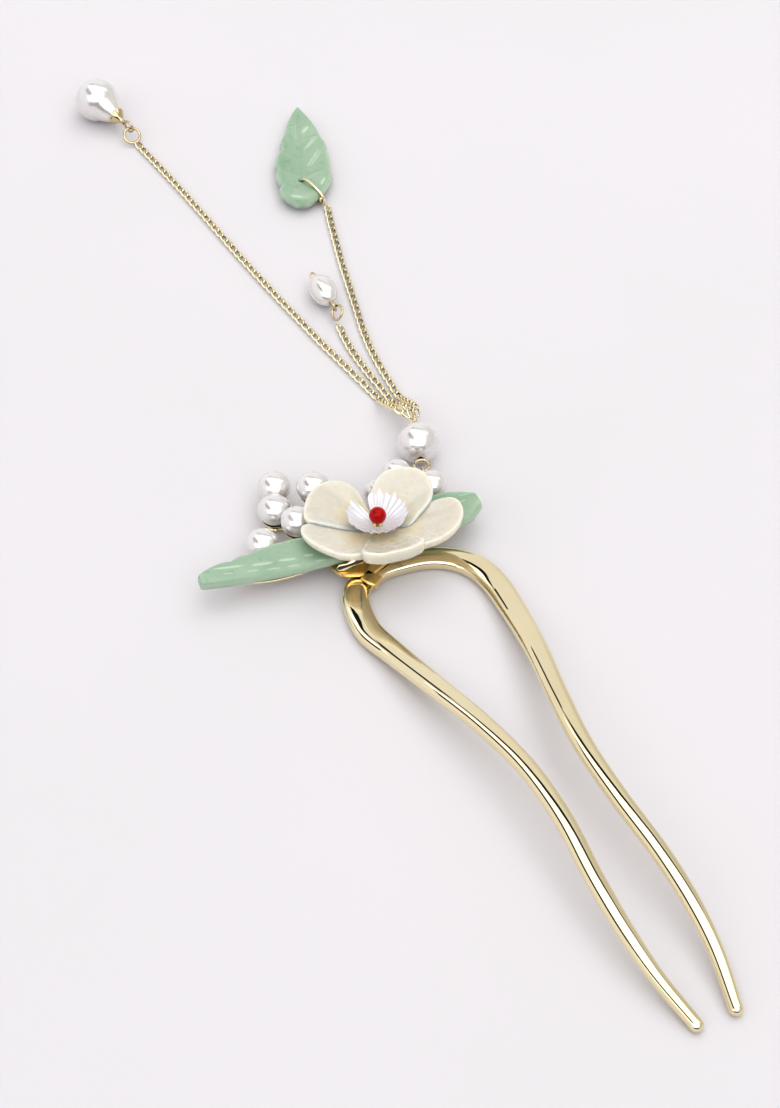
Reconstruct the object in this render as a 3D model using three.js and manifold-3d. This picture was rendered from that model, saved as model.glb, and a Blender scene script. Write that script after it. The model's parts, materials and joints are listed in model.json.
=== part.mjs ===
// A two-prong hair fork with a glass flower, two glass leaves, pearl sprays and a three-strand chain tassel.
// Millimetres. The origin lies on the flat underside of the fork's arch, at its crown.
// +Z is up, the prongs point along -Y and the tassel is laid out along +Y.
import * as THREE from "three";
import { mergeVertices } from "three/addons/utils/BufferGeometryUtils.js";
import Module from "manifold-3d";

const wasm = await Module();
wasm.setup();

// ---- driving dimensions ----
const GAP = 0.3; // clearance between neighbouring pieces

// fork centreline [x, y, height of the middle, width, thickness]: the arch from its left shoulder to its
// right one, and one prong, whose mirror image is the other
const ARCH = [
  [-13.4, -13, 1.42, 5.2, 2.6],
  [-13.1, -8.2, 1.34, 5.1, 2.6],
  [-11.8, -3.8, 1.3, 5.1, 2.6],
  [-9, -0.7, 1.3, 5, 2.6],
  [-5, 0.5, 1.3, 4.6, 2.6],
  [0, 0.3, 1.3, 4.4, 2.6],
  [5, -0.8, 1.3, 4.5, 2.6],
  [9, -3.3, 1.3, 4.8, 2.6],
  [11.6, -7, 1.33, 5.1, 2.6],
  [12.6, -12, 1.4, 5.2, 2.6],
];
const PRONG = [
  [12.1, -20, 2.3, 4.9, 2.6],
  [10, -33, 5, 4.3, 2.6],
  [7.4, -46, 6.8, 3.9, 2.6],
  [5.6, -58.5, 7.7, 3.7, 2.6],
  [5.4, -71.5, 7.7, 3.6, 2.6],
  [6.3, -84, 6.6, 3.5, 2.5],
  [6.4, -95, 5.1, 3.3, 2.4],
  [5.7, -104, 3.4, 2.9, 2.3],
  [3.7, -114.4, 1.2, 2.5, 2.2],
];
const FORK_RINGS = 54; // sections from tip to tip
const TIP_ROUND = 1.2; // length of the rounded prong tip

// ornament stack
const FLOWER = [-3, 5.2]; // axis of the flower, its cup, its bead and its pin
const PLATE = { z: 2.9, thick: 0.7, middle: [-4.6, 3.4], half: [8.8, 7] };
const PLATE_FRONT = [[-12.4, 0.4], [-7.5, -1.7], [-1.7, 0.6]]; // corners of its cut front edge
const LUG = { middle: [-7.22, -3.5], turn: 32, width: 2.6, thick: 0.8, drop: 2.2 };
const TAB = { middle: [-7.93, -2.38], length: 3.2 };
const BRANCH = { z: 0.1, thick: 0.7, arm: 1.5, pad: 1.5, hub: 2.2 };
const PETAL_FIRST = -28; // direction of the first petal, degrees
// petals in turn: reach and rise of the tip. The last one, over the arch, is short and curls up.
const PETALS = [
  { reach: 15.8, rise: 3.3 },
  { reach: 14.8, rise: 3 },
  { reach: 14.4, rise: 2.9 },
  { reach: 14.4, rise: 3 },
  { reach: 11.4, rise: 4.8 },
];
const FLOWER_CLEFT = 5.6; // radius at the bottom of the clefts between petals
const FLOWER_FLOOR = 7.7; // height of the middle of the upper face
const PETAL_CURVE = 1.7; // power of the petals' rise along their reach
const FLOWER_TILT = 4; // degrees about X, towards the prongs
const CUP_REACH = 5.8;
const CUP_FLOOR = 8.3;
const CUP_RISE = 3;
const PIN_R = 0.35;
const BEAD_R = 1.6;
const BEAD_Z = 10.5;

// button pearls: [name, x, y, height of the middle, radius, half height]
const BUTTON_PEARLS = [
  ["1", -14.3, 26.3, 4.25, 3.2, 2.7],
  ["2", -16.96, 20.37, 4.57, 3.2, 2.7],
  ["3", -14.97, 14.43, 6, 3.2, 2.7],
  ["4", -22.55, 13.45, 4.4, 3.2, 2.7],
  ["5", -8.64, 21.07, 6.4, 3.2, 2.7],
  ["6", 7.75, 19.2, 4.64, 2.9, 2.5],
  ["7", 2.6, 16.3, 4.4, 2.9, 2.5],
  ["8", 12, 12.9, 5.4, 2.9, 2.5],
];

// leaves: root, direction in plan (degrees), roll (degrees), length, width
const LEAF_THICK = 2.6;
const LEFT_LEAF = { root: [-8.5, 4.82, 5.42], turn: 171.7, roll: -11, length: 29.1, width: 9 };
const RIGHT_LEAF = { root: [2.6, 5.4, 5.35], turn: 0, roll: 6, length: 16, width: 9.4 };
const CHARM = { root: [26.6, 101.4, 2.45], turn: 67.1, roll: 0, length: 31.9, width: 11.2 };
const CHARM_DIP = 1.9; // degrees that the charm's tip points down
const CHARM_HOLE = { along: 5.9, radius: 0.8 };

// tassel
const WIRE = 0.3; // radius of the ring and pin wire
const RING_R = 1.7; // middle radius of the jump rings
const LOOP_R = 1.4; // middle radius of the pearl pin's eyes
const LINK_STEP = 0.58; // from a ring's far wire to the middle of the eye hooked on it
const PEARL = { middle: [15.3, 25.3, 4], radius: 4, bore: 0.65 };
const LINK_TURN = 71; // direction of the pearl link in plan, degrees
const LINK_RISE = 6; // its slope, degrees
const RING_RISE = 24; // slope of the jump ring, degrees
const EYE_BRIDGE_TO_RING = 0.75;
const CHAIN_D = 1.4;
const CHAIN_SIDES = 8;
const TABLE_Z = 0.8; // middle height of a chain that lies on the table

const LONG_CHAIN = [
  [15.5, 33.2, 3.3], [15.6, 35.4, 1.6], [15.7, 38, 0.85], [15.5, 43, TABLE_Z], [14.8, 48, TABLE_Z],
  [13.7, 55, TABLE_Z], [12.4, 63, TABLE_Z], [11.4, 71, TABLE_Z], [10.4, 79, TABLE_Z], [9.5, 87, TABLE_Z],
  [8.7, 95, TABLE_Z], [8, 103, TABLE_Z], [7.3, 111, TABLE_Z], [6.5, 119, TABLE_Z], [5.6, 127, TABLE_Z],
  [4.5, 135.9, TABLE_Z],
];
const SHORT_CHAIN = [
  [17.25, 33.1, 3.3], [17.35, 35.3, 1.6], [17.45, 38, 0.85], [17.5, 41, TABLE_Z], [17.4, 44, TABLE_Z],
  [17.2, 47, TABLE_Z], [17, 50, TABLE_Z], [16.9, 53, TABLE_Z], [16.9, 56, TABLE_Z], [17, 59, TABLE_Z],
  [17.3, 62, TABLE_Z], [17.7, 65, TABLE_Z],
];
const LEAF_CHAIN = [
  [19, 33.2, 3.3], [19.1, 35.4, 1.6], [19.25, 38, 0.85], [19.4, 42, TABLE_Z], [19.6, 46, TABLE_Z],
  [19.8, 50, TABLE_Z], [20.4, 56, TABLE_Z], [21.5, 62, TABLE_Z], [23.1, 68.6, TABLE_Z], [24.8, 75.5, TABLE_Z],
  [26.5, 82.5, TABLE_Z], [28.3, 89, TABLE_Z], [30, 95, TABLE_Z], [31.4, 99.6, TABLE_Z],
];

const DROP = { middle: [0.8, 149.1, 4.5], radius: 4.5, neck: 8, turn: 109, rise: 9 };
const DROP_RING = { middle: [4, 138, 1.75], slope: 35 };
const DROP_EYE_R = 1.2;
const RICE = { middle: [18.5, 74.4, 2.75], radius: 2.65, half: 4, bore: 0.55 };
const RICE_RING_R = 1.5;
const RICE_RING_LEAN = 55; // degrees from flat
const RICE_SLOPE = 9;

// ---- materials ----
const finish = (color, roughness, metalness) => () =>
  new THREE.MeshStandardMaterial({ color, roughness, metalness });
const gold = finish(0xe3d7a0, 0.12, 1);
const goldWire = finish(0xd6bd7c, 0.18, 1);
const milkGlass = finish(0xefe7d3, 0.25, 0);
const greenGlass = finish(0xa4cfae, 0.22, 0);
const pearlShell = finish(0xf2ece8, 0.2, 0.1);
const shellCup = finish(0xeeeaf4, 0.25, 0.4);
const redGlass = finish(0xc01018, 0.2, 0);

// ---- helpers ----
const group = new THREE.Group();
const rad = THREE.MathUtils.degToRad;
const vec = (x, y, z) => new THREE.Vector3(x, y, z);

function addPiece(name, geometry, material, parent = group) {
  const mesh = new THREE.Mesh(geometry, material());
  mesh.name = name;
  parent.add(mesh);
  return mesh;
}

// A closed geometry as a manifold-3d solid.
function toSolid(geometry) {
  const bare = geometry.index ? geometry.toNonIndexed() : geometry.clone();
  bare.deleteAttribute("normal");
  bare.deleteAttribute("uv");
  const merged = mergeVertices(bare, 1e-4);
  return new wasm.Manifold(
    new wasm.Mesh({
      numProp: 3,
      vertProperties: new Float32Array(merged.attributes.position.array),
      triVerts: new Uint32Array(merged.index.array),
    }),
  );
}

function fromSolid(solid) {
  const mesh = solid.getMesh();
  const geometry = new THREE.BufferGeometry();
  const points = new THREE.BufferAttribute(new Float32Array(mesh.vertProperties), 3);
  geometry.setAttribute("position", points);
  geometry.setIndex(new THREE.BufferAttribute(new Uint32Array(mesh.triVerts), 1));
  geometry.computeVertexNormals();
  return geometry;
}

const join = (parts) => fromSolid(parts.map(toSolid).reduce((a, b) => a.add(b)));
const cut = (base, tools) =>
  fromSolid(tools.map(toSolid).reduce((a, b) => a.subtract(b), toSolid(base)));

// A closed skin over rings of points, capped at both ends.
function loft(rings) {
  const sides = rings[0].length;
  const positions = rings.flat().flatMap((p) => [p.x, p.y, p.z]);
  const index = [];
  for (let i = 0; i < rings.length - 1; i++)
    for (let j = 0; j < sides; j++) {
      const a = i * sides + j;
      const b = i * sides + ((j + 1) % sides);
      index.push(a, b, b + sides, a, b + sides, a + sides);
    }
  const last = (rings.length - 1) * sides;
  for (let j = 1; j < sides - 1; j++) {
    index.push(0, j + 1, j);
    index.push(last, last + j, last + j + 1);
  }
  const geometry = new THREE.BufferGeometry();
  geometry.setAttribute("position", new THREE.Float32BufferAttribute(positions, 3));
  geometry.setIndex(index);
  geometry.computeVertexNormals();
  return geometry;
}

function cylinderBetween(a, b, radius, sides = 10) {
  const along = b.clone().sub(a);
  const geometry = new THREE.CylinderGeometry(radius, radius, along.length(), sides);
  geometry.applyQuaternion(new THREE.Quaternion().setFromUnitVectors(vec(0, 1, 0), along.normalize()));
  const middle = a.clone().add(b).multiplyScalar(0.5);
  return geometry.translate(middle.x, middle.y, middle.z);
}

// A round wire ring with the given middle and normal.
function ringGeometry(middle, normal, radius, wire = WIRE, turns = 18) {
  const geometry = new THREE.TorusGeometry(radius, wire, 6, turns);
  geometry.applyQuaternion(new THREE.Quaternion().setFromUnitVectors(vec(0, 0, 1), normal.clone().normalize()));
  return geometry.translate(middle.x, middle.y, middle.z);
}

// A unit vector at a direction in plan and a rise, in degrees.
const heading = (turn, rise) =>
  vec(Math.cos(rad(turn)) * Math.cos(rad(rise)), Math.sin(rad(turn)) * Math.cos(rad(rise)), Math.sin(rad(rise)));

const lathe = (profile, sides) =>
  new THREE.LatheGeometry(profile.map(([r, z]) => new THREE.Vector2(r, z)), sides).rotateX(Math.PI / 2);

// Points [r, z] of an elliptic arc about the axis, angles in degrees up from the equator.
function arcProfile(radius, half, from, to, steps, middle = 0) {
  const points = [];
  for (let i = 0; i <= steps; i++) {
    const a = rad(from + ((to - from) * i) / steps);
    points.push([radius * Math.cos(a), middle + half * Math.sin(a)]);
  }
  return points;
}

// Turns a geometry made along +Z so that it points along a direction, about a place.
function aim(geometry, direction, place) {
  geometry.applyQuaternion(new THREE.Quaternion().setFromUnitVectors(vec(0, 0, 1), direction));
  return geometry.translate(place.x, place.y, place.z);
}

// ---- fork ----
// Its section has a flat underside, so the arch rests on the table.
const FORK_SECTION = [
  [1, 0], [0.9, 0.55], [0.6, 0.92], [0, 1], [-0.6, 0.92], [-0.9, 0.55],
  [-1, 0], [-0.9, -0.6], [-0.6, -1], [0, -1], [0.6, -1], [0.9, -0.6],
];

function forkGeometry() {
  const left = PRONG.map(([x, y, z, w, t]) => [-x, y, z, w, t]).reverse();
  const stations = [...left, ...ARCH, ...PRONG];
  const path = new THREE.CatmullRomCurve3(stations.map(([x, y, z]) => vec(x, y, z)), false, "centripetal");
  const size = new THREE.CatmullRomCurve3(stations.map((s) => vec(s[3], s[4], 0)), false, "centripetal");
  const rings = [];
  const ringAt = (t, scale, push) => {
    const middle = path.getPoint(t);
    const tangent = path.getTangent(t);
    const side = vec(0, 0, 1).cross(tangent).normalize();
    const up = tangent.clone().cross(side);
    const { x: width, y: thick } = size.getPoint(t);
    middle.addScaledVector(tangent, push);
    return FORK_SECTION.map(([a, b]) =>
      middle
        .clone()
        .addScaledVector(side, (a * scale * width) / 2)
        .addScaledVector(up, (b * scale * thick) / 2),
    );
  };
  const tipSteps = [[0.3, 1], [0.72, 0.72]];
  for (const [scale, push] of tipSteps) rings.push(ringAt(0, scale, -push * TIP_ROUND));
  for (let i = 0; i <= FORK_RINGS; i++) rings.push(ringAt(i / FORK_RINGS, 1, 0));
  for (const [scale, push] of [...tipSteps].reverse()) rings.push(ringAt(1, scale, push * TIP_ROUND));
  return loft(rings);
}
addPiece("hair_fork", forkGeometry(), gold);

// ---- ornament plate, with a lug that hooks inside the arch ----
function slab(outline, z, thick) {
  return new THREE.ExtrudeGeometry(outline, { depth: thick, bevelEnabled: false, curveSegments: 14 }).translate(0, 0, z);
}

function plateGeometry() {
  const { z, thick, middle, half } = PLATE;
  const outline = new THREE.Shape().absellipse(middle[0], middle[1], half[0], half[1], rad(-4), rad(206));
  PLATE_FRONT.forEach(([x, y]) => outline.lineTo(x, y));
  outline.closePath();
  const lug = new THREE.BoxGeometry(LUG.width, LUG.thick, LUG.drop + 0.4);
  lug.rotateZ(rad(LUG.turn));
  lug.translate(...LUG.middle, z - LUG.drop / 2 + 0.2);
  const tab = new THREE.BoxGeometry(LUG.width, TAB.length, thick);
  tab.rotateZ(rad(LUG.turn));
  tab.translate(...TAB.middle, z + thick / 2);
  const hole = cylinderBetween(vec(...FLOWER, 0), vec(...FLOWER, 10), PIN_R + GAP);
  return cut(join([slab(outline, z, thick), tab, lug]), [hole]);
}
addPiece("ornament_plate", plateGeometry(), gold);

// ---- pearl branch: one stamping with an arm to each button pearl and the raised eye of the tassel ----
const linkFlat = heading(LINK_TURN, 0);
const linkSide = vec(linkFlat.y, -linkFlat.x, 0);
const link = heading(LINK_TURN, LINK_RISE);
const pearlMiddle = vec(...PEARL.middle);
const EYE_TO_PEARL = PEARL.radius + LOOP_R + WIRE - 0.05;
const nearEye = pearlMiddle.clone().addScaledVector(link, -EYE_TO_PEARL);
const farEye = pearlMiddle.clone().addScaledVector(link, EYE_TO_PEARL);
const ringFarWire = nearEye.clone().addScaledVector(link, -LINK_STEP);
const ringAlong = heading(LINK_TURN, RING_RISE);
const ringMiddle = ringFarWire.clone().addScaledVector(ringAlong, -RING_R);
const eyeBridge = ringMiddle.clone().addScaledVector(ringAlong, -EYE_BRIDGE_TO_RING);

function armGeometry(from, to, width, z, thick) {
  const along = vec(to[0] - from[0], to[1] - from[1], 0);
  const arm = new THREE.BoxGeometry(along.length(), width, thick);
  arm.rotateZ(Math.atan2(along.y, along.x));
  return arm.translate((from[0] + to[0]) / 2, (from[1] + to[1]) / 2, z + thick / 2);
}

function branchGeometry() {
  const { z, thick, arm, pad, hub } = BRANCH;
  const disc = (x, y, r) =>
    new THREE.CylinderGeometry(r, r, thick, 16).rotateX(Math.PI / 2).translate(x, y, z + thick / 2);
  const parts = [disc(...FLOWER, hub)];
  for (const [, x, y] of BUTTON_PEARLS) {
    parts.push(armGeometry(FLOWER, [x, y], arm, z, thick));
    parts.push(disc(x, y, pad));
  }
  const bridgeHalf = 0.35;
  const eyeHole = 1.25; // from the bridge to the middle of the eye's hole
  const eyeThick = 0.7;
  const back = (distance) => eyeBridge.clone().addScaledVector(linkFlat, -distance);
  const [, px, py] = BUTTON_PEARLS[7];
  const riserAt = back(eyeHole + 1.3);
  parts.push(armGeometry([px, py], [riserAt.x, riserAt.y], arm, z, thick));
  const top = eyeBridge.z + eyeThick / 2;
  parts.push(cylinderBetween(vec(riserAt.x, riserAt.y, z), vec(riserAt.x, riserAt.y, top), 0.5));
  const end = back(-bridgeHalf);
  parts.push(armGeometry([riserAt.x, riserAt.y], [end.x, end.y], 2.6, top - eyeThick, eyeThick));
  const hole = back(eyeHole);
  const holes = [
    cylinderBetween(vec(hole.x, hole.y, 0.9), vec(hole.x, hole.y, 6), 0.9, 14),
    cylinderBetween(vec(...FLOWER, -1), vec(...FLOWER, 3), PIN_R + GAP),
  ];
  return cut(join(parts), holes);
}
addPiece("pearl_branch", branchGeometry(), gold);

// ---- button pearls in their cups ----
function buttonPearl(radius, half) {
  return lathe(arcProfile(radius, half, -90, 90, 8), 15);
}

// A shallow cup under a button pearl, on a peg that reaches down to the branch.
function pearlCup(radius, half, height) {
  const rim = 0.72 * radius;
  const pegFoot = BRANCH.z + BRANCH.thick + GAP - height;
  return lathe(
    [
      [0, pegFoot],
      [0.55, pegFoot],
      [0.55, -half - 0.48],
      [0.6 * rim, -half - 0.28],
      [rim + 0.15, -half + 0.3],
      [rim + 0.15, -half + 0.55],
      [rim, -half + 0.48],
      [0.55 * rim, -half - 0.1],
      [0, -half - 0.25],
    ],
    10,
  );
}
for (const [name, x, y, z, radius, half] of BUTTON_PEARLS) {
  addPiece("button_pearl_" + name, buttonPearl(radius, half), pearlShell).position.set(x, y, z);
  addPiece("pearl_cup_" + name, pearlCup(radius, half, z), gold).position.set(x, y, z);
}

// ---- leaves ----
// Half widths along a leaf, as a share of its half width, from the root to the tip.
const CHARM_OUTLINE = [
  [0, 0.3], [0.07, 0.6], [0.18, 0.84], [0.32, 1], [0.48, 0.97], [0.64, 0.81], [0.79, 0.57], [0.91, 0.31], [1, 0.08],
];
// The two side leaves are narrower and end in a blunt facet.
const BLUNT_OUTLINE = [
  [0, 0.5], [0.07, 0.6], [0.18, 0.72], [0.32, 0.8], [0.48, 0.82], [0.64, 0.72], [0.79, 0.55], [0.91, 0.46], [1, 0.25],
];

// A leaf along +X from its root.
function leafGeometry(outline, length, width, thick) {
  const rings = outline.map(([share, part]) => {
    const w = (part * width) / 2;
    const t = thick / 2;
    const section = [[w, 0], [0.72 * w, t], [0, 0.86 * t], [-0.72 * w, t], [-w, 0], [-0.72 * w, -t], [0.72 * w, -t]];
    return section.map(([y, z]) => vec(share * length, y, z));
  });
  return loft(rings);
}

function placeLeaf(mesh, leaf, dip = 0) {
  mesh.rotation.set(rad(leaf.roll), rad(dip), rad(leaf.turn), "ZYX");
  mesh.position.set(...leaf.root);
}
for (const [side, leaf] of [["left", LEFT_LEAF], ["right", RIGHT_LEAF]]) {
  const glass = addPiece(side + "_leaf", leafGeometry(BLUNT_OUTLINE, leaf.length, leaf.width, LEAF_THICK), greenGlass);
  placeLeaf(glass, leaf);
}

// The gold tongues that the leaves lie on start at the plate's edge.
const TONGUE = { thick: 0.5, drop: LEAF_THICK / 2 + GAP + 0.25 };
function tongueGeometry(from, to, width) {
  const outline = new THREE.Shape();
  outline.moveTo(from, -0.3 * width);
  outline.quadraticCurveTo((from + to) / 2, -0.62 * width, to, -0.08 * width);
  outline.lineTo(to, 0.08 * width);
  outline.quadraticCurveTo((from + to) / 2, 0.62 * width, from, 0.3 * width);
  const flat = new THREE.ExtrudeGeometry(outline, { depth: TONGUE.thick, bevelEnabled: false, curveSegments: 8 });
  return flat.translate(0, 0, -TONGUE.drop - TONGUE.thick / 2);
}
placeLeaf(addPiece("left_leaf_backing", tongueGeometry(7.2, 25, 6.4), gold), LEFT_LEAF);
placeLeaf(addPiece("right_leaf_backing", tongueGeometry(5.2, 13.4, 6.6), gold), RIGHT_LEAF);

// ---- flower, cup, bead and pin ----
// A thin cupped sheet in polar form. reach(angle) is its outline and top(r, angle) its upper face.
function cuppedSheet(reach, top, thickAt, hole, rings, turns) {
  const upper = [];
  const lower = [];
  for (let i = 0; i <= rings; i++)
    for (let j = 0; j < turns; j++) {
      const angle = (2 * Math.PI * j) / turns;
      const edge = reach(angle);
      const r = hole + ((edge - hole) * i) / rings;
      const z = top(r, angle);
      upper.push([r * Math.cos(angle), r * Math.sin(angle), z]);
      lower.push([r * Math.cos(angle), r * Math.sin(angle), z - thickAt(i / rings)]);
    }
  const index = [];
  const base = upper.length;
  const quad = (a, b, c, d) => index.push(a, b, c, a, c, d);
  for (let i = 0; i < rings; i++)
    for (let j = 0; j < turns; j++) {
      const a = i * turns + j;
      const b = i * turns + ((j + 1) % turns);
      quad(a, a + turns, b + turns, b);
      quad(base + a, base + b, base + b + turns, base + a + turns);
    }
  for (let j = 0; j < turns; j++) {
    const next = (j + 1) % turns;
    const rim = rings * turns;
    quad(rim + j, base + rim + j, base + rim + next, rim + next);
    quad(j, next, base + next, base + j);
  }
  const geometry = new THREE.BufferGeometry();
  geometry.setAttribute("position", new THREE.Float32BufferAttribute([...upper, ...lower].flat(), 3));
  geometry.setIndex(index);
  geometry.computeVertexNormals();
  return geometry;
}

// The petal at an angle, the next one that way, and the distance from its middle line (0) to the cleft (1).
function petalAt(angle) {
  const pitch = 360 / PETALS.length;
  const turns = (THREE.MathUtils.radToDeg(angle) - PETAL_FIRST) / pitch;
  const nearest = Math.round(turns);
  const pick = (i) => PETALS[THREE.MathUtils.euclideanModulo(i, PETALS.length)];
  const side = turns < nearest ? -1 : 1;
  return { petal: pick(nearest), next: pick(nearest + side), offset: Math.abs(turns - nearest) * 2 };
}

function petalReach(angle) {
  const { petal, offset } = petalAt(angle);
  return FLOWER_CLEFT + (petal.reach - FLOWER_CLEFT) * Math.pow(1 - Math.pow(offset, 5), 0.6);
}

function petalTop(r, angle) {
  const { petal, next, offset } = petalAt(angle);
  const steepness = ({ reach, rise }) => rise / Math.pow(reach, PETAL_CURVE);
  const toNext = THREE.MathUtils.smoothstep(offset, 0.6, 1.4);
  return THREE.MathUtils.lerp(steepness(petal), steepness(next), toNext) * Math.pow(r, PETAL_CURVE);
}
const PIN_HOLE = 0.95;
const flower = new THREE.Group();
flower.position.set(...FLOWER, FLOWER_FLOOR);
flower.rotation.x = rad(-FLOWER_TILT);
group.add(flower);
const petalThick = (share) => 1.2 - 0.2 * share;
addPiece("glass_flower", cuppedSheet(petalReach, petalTop, petalThick, PIN_HOLE, 4, 50), milkGlass, flower);

const fluteReach = (angle) => CUP_REACH * (1 - 0.06 * (1 - Math.cos(12 * angle)));
const cupTop = (r) => CUP_FLOOR - FLOWER_FLOOR + CUP_RISE * Math.pow(r / CUP_REACH, 1.8);
addPiece("flower_cup", cuppedSheet(fluteReach, cupTop, () => 0.45, PIN_HOLE, 2, 36), shellCup, flower);

const beadPocket = [[0, 0.1], [PIN_R + GAP, 0.1]];
const pocketMouth = -THREE.MathUtils.radToDeg(Math.acos((PIN_R + GAP) / BEAD_R));
const beadProfile = [...beadPocket, ...arcProfile(BEAD_R, BEAD_R, pocketMouth, 90, 9)];
addPiece("red_bead", lathe(beadProfile, 18), redGlass).position.set(...FLOWER, BEAD_Z);
const pinTop = BEAD_Z - GAP;
addPiece("flower_pin", cylinderBetween(vec(...FLOWER, BRANCH.z), vec(...FLOWER, pinTop), PIN_R), goldWire);

// ---- tassel: jump ring, big pearl on its eye pin ----
addPiece("tassel_ring", ringGeometry(ringMiddle, linkSide, RING_R), goldWire);

function boredPearl(radius, half, bore, sides) {
  const mouth = THREE.MathUtils.radToDeg(Math.acos(bore / radius));
  const profile = arcProfile(radius, half, -mouth, mouth, 10);
  return lathe([...profile, profile[0]], sides);
}
addPiece("big_pearl", aim(boredPearl(PEARL.radius, PEARL.radius, PEARL.bore, 20), link, pearlMiddle), pearlShell);

const acrossLink = linkSide.clone().cross(link).negate();
const eyePin = join([
  ringGeometry(nearEye, acrossLink, LOOP_R),
  cylinderBetween(
    nearEye.clone().addScaledVector(link, LOOP_R - 0.1),
    farEye.clone().addScaledVector(link, 0.1 - LOOP_R),
    WIRE,
  ),
  ringGeometry(farEye, linkSide, LOOP_R),
]);
addPiece("pearl_eye_pin", eyePin, goldWire);

// ---- chains, as plain cords of their outer width ----
function chainGeometry(points) {
  const path = new THREE.CatmullRomCurve3(points.map((p) => vec(...p)), false, "centripetal");
  const outline = new THREE.Shape().absarc(0, 0, CHAIN_D / 2, 0, 2 * Math.PI);
  const steps = Math.round(path.getLength() / (2.5 * CHAIN_D));
  const options = { steps, curveSegments: CHAIN_SIDES / 2, extrudePath: path, bevelEnabled: false };
  return new THREE.ExtrudeGeometry(outline, options);
}
addPiece("long_chain", chainGeometry(LONG_CHAIN), goldWire);
addPiece("short_chain", chainGeometry(SHORT_CHAIN), goldWire);
addPiece("leaf_chain", chainGeometry(LEAF_CHAIN), goldWire);

// ---- drop pearl at the end of the long chain ----
const dropAlong = heading(DROP.turn, DROP.rise);
const dropMiddle = vec(...DROP.middle);
const dropRingAlong = heading(90, DROP_RING.slope);
const dropRingMiddle = vec(...DROP_RING.middle);
const dropRingNormal = vec(1, 0, 0).cross(dropRingAlong);
addPiece("drop_ring", ringGeometry(dropRingMiddle, dropRingNormal, RING_R - 0.05), goldWire);

// The teardrop is a sphere whose near side runs out into a neck.
const neckMeets = -48;
const dropProfile = [
  [0, -DROP.neck],
  [0.75, -DROP.neck + 0.25],
  [1.55, -DROP.neck + 1.6],
  [2.35, -DROP.neck + 3.1],
  ...arcProfile(DROP.radius, DROP.radius, neckMeets, 90, 9),
];
addPiece("drop_pearl", aim(lathe(dropProfile, 18), dropAlong, dropMiddle), pearlShell);

const capLow = -DROP.neck - 0.75;
const capProfile = [
  [0, capLow], [0.7, capLow], [0.95, capLow + 0.5], [1.6, capLow + 1.3], [2.3, capLow + 2.6],
  [2.05, capLow + 2.7], [1.35, capLow + 1.5], [0.6, -DROP.neck - GAP], [0, -DROP.neck - GAP],
];
const dropEye = dropMiddle.clone().addScaledVector(dropAlong, capLow - DROP_EYE_R - WIRE + 0.15);
const dropCap = join([
  aim(lathe(capProfile, 14), dropAlong, dropMiddle),
  ringGeometry(dropEye, vec(0, 0, 1).cross(dropAlong), DROP_EYE_R, 0.26, 16),
]);
addPiece("drop_cap", dropCap, goldWire);

// ---- leaf charm and its wire bail ----
const charmHole = cylinderBetween(vec(CHARM_HOLE.along, 0, -3), vec(CHARM_HOLE.along, 0, 3), CHARM_HOLE.radius, 12);
const charmBody = cut(leafGeometry(CHARM_OUTLINE, CHARM.length, CHARM.width, LEAF_THICK), [charmHole]);
const charm = addPiece("leaf_charm", charmBody, greenGlass);
placeLeaf(charm, CHARM, CHARM_DIP);

charm.updateMatrix();
const bailFrom = vec(CHARM_HOLE.along, 0, 0).applyMatrix4(charm.matrix);
const chainEnd = LEAF_CHAIN.at(-1);
const bailAlong = vec(chainEnd[0] - bailFrom.x, chainEnd[1] - bailFrom.y, 0);
const BAIL_END = bailAlong.length() - CHAIN_D / 2 - GAP;
bailAlong.normalize();
const BAIL_LOW = 0.42;
const BAIL_HIGH = 4.25;
const bailOutline = [
  [0, 1.3], [0, 3], [0.8, BAIL_HIGH], [3.4, 4.15], [BAIL_END - 0.5, 2.9], [BAIL_END, 1.8],
  [BAIL_END - 0.5, 0.75], [3.2, BAIL_LOW], [0.8, BAIL_LOW],
];
const bailPath = new THREE.CatmullRomCurve3(
  bailOutline.map(([s, z]) => vec(bailFrom.x + bailAlong.x * s, bailFrom.y + bailAlong.y * s, z)),
  true,
  "centripetal",
);
addPiece("charm_bail", new THREE.TubeGeometry(bailPath, 28, WIRE, 6, true), goldWire);

// ---- rice pearl at the end of the short chain ----
const riceAlong = heading(88, RICE_SLOPE);
const riceMiddle = vec(...RICE.middle);
addPiece("rice_pearl", aim(boredPearl(RICE.radius, RICE.half, RICE.bore, 16), heading(88, 0), riceMiddle), pearlShell);
const RICE_LOOP_R = 1;
const riceFlat = heading(88, 0);
const riceEye = riceMiddle.clone().addScaledVector(riceFlat, -RICE.half - RICE_LOOP_R - 0.25);
const riceCurl = riceMiddle.clone().addScaledVector(riceFlat, RICE.half + 0.85);
const ricePin = join([
  ringGeometry(riceEye, vec(1, 0, 0.3), RICE_LOOP_R, 0.26, 16),
  cylinderBetween(
    riceEye.clone().addScaledVector(riceFlat, RICE_LOOP_R - 0.1),
    riceCurl.clone().addScaledVector(riceFlat, -0.55),
    0.24,
    8,
  ),
  ringGeometry(riceCurl, vec(1, 0, 0), 0.65, 0.24, 14),
]);
addPiece("rice_pin", ricePin, goldWire);
const riceRingFar = riceEye.clone().addScaledVector(riceFlat, -0.32);
const riceRingMiddle = riceRingFar.clone().addScaledVector(riceAlong, -RICE_RING_R);
const riceRingNormal = vec(-Math.sin(rad(RICE_RING_LEAN)), 0, Math.cos(rad(RICE_RING_LEAN)));
addPiece("rice_ring", ringGeometry(riceRingMiddle, riceRingNormal, RICE_RING_R, 0.26), goldWire);

export default group;
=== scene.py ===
import json
import random
from math import acos, atan2, copysign, cos, degrees, exp, hypot, pi, radians, remainder, sin

import bpy
from mathutils import Matrix, Vector


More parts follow.
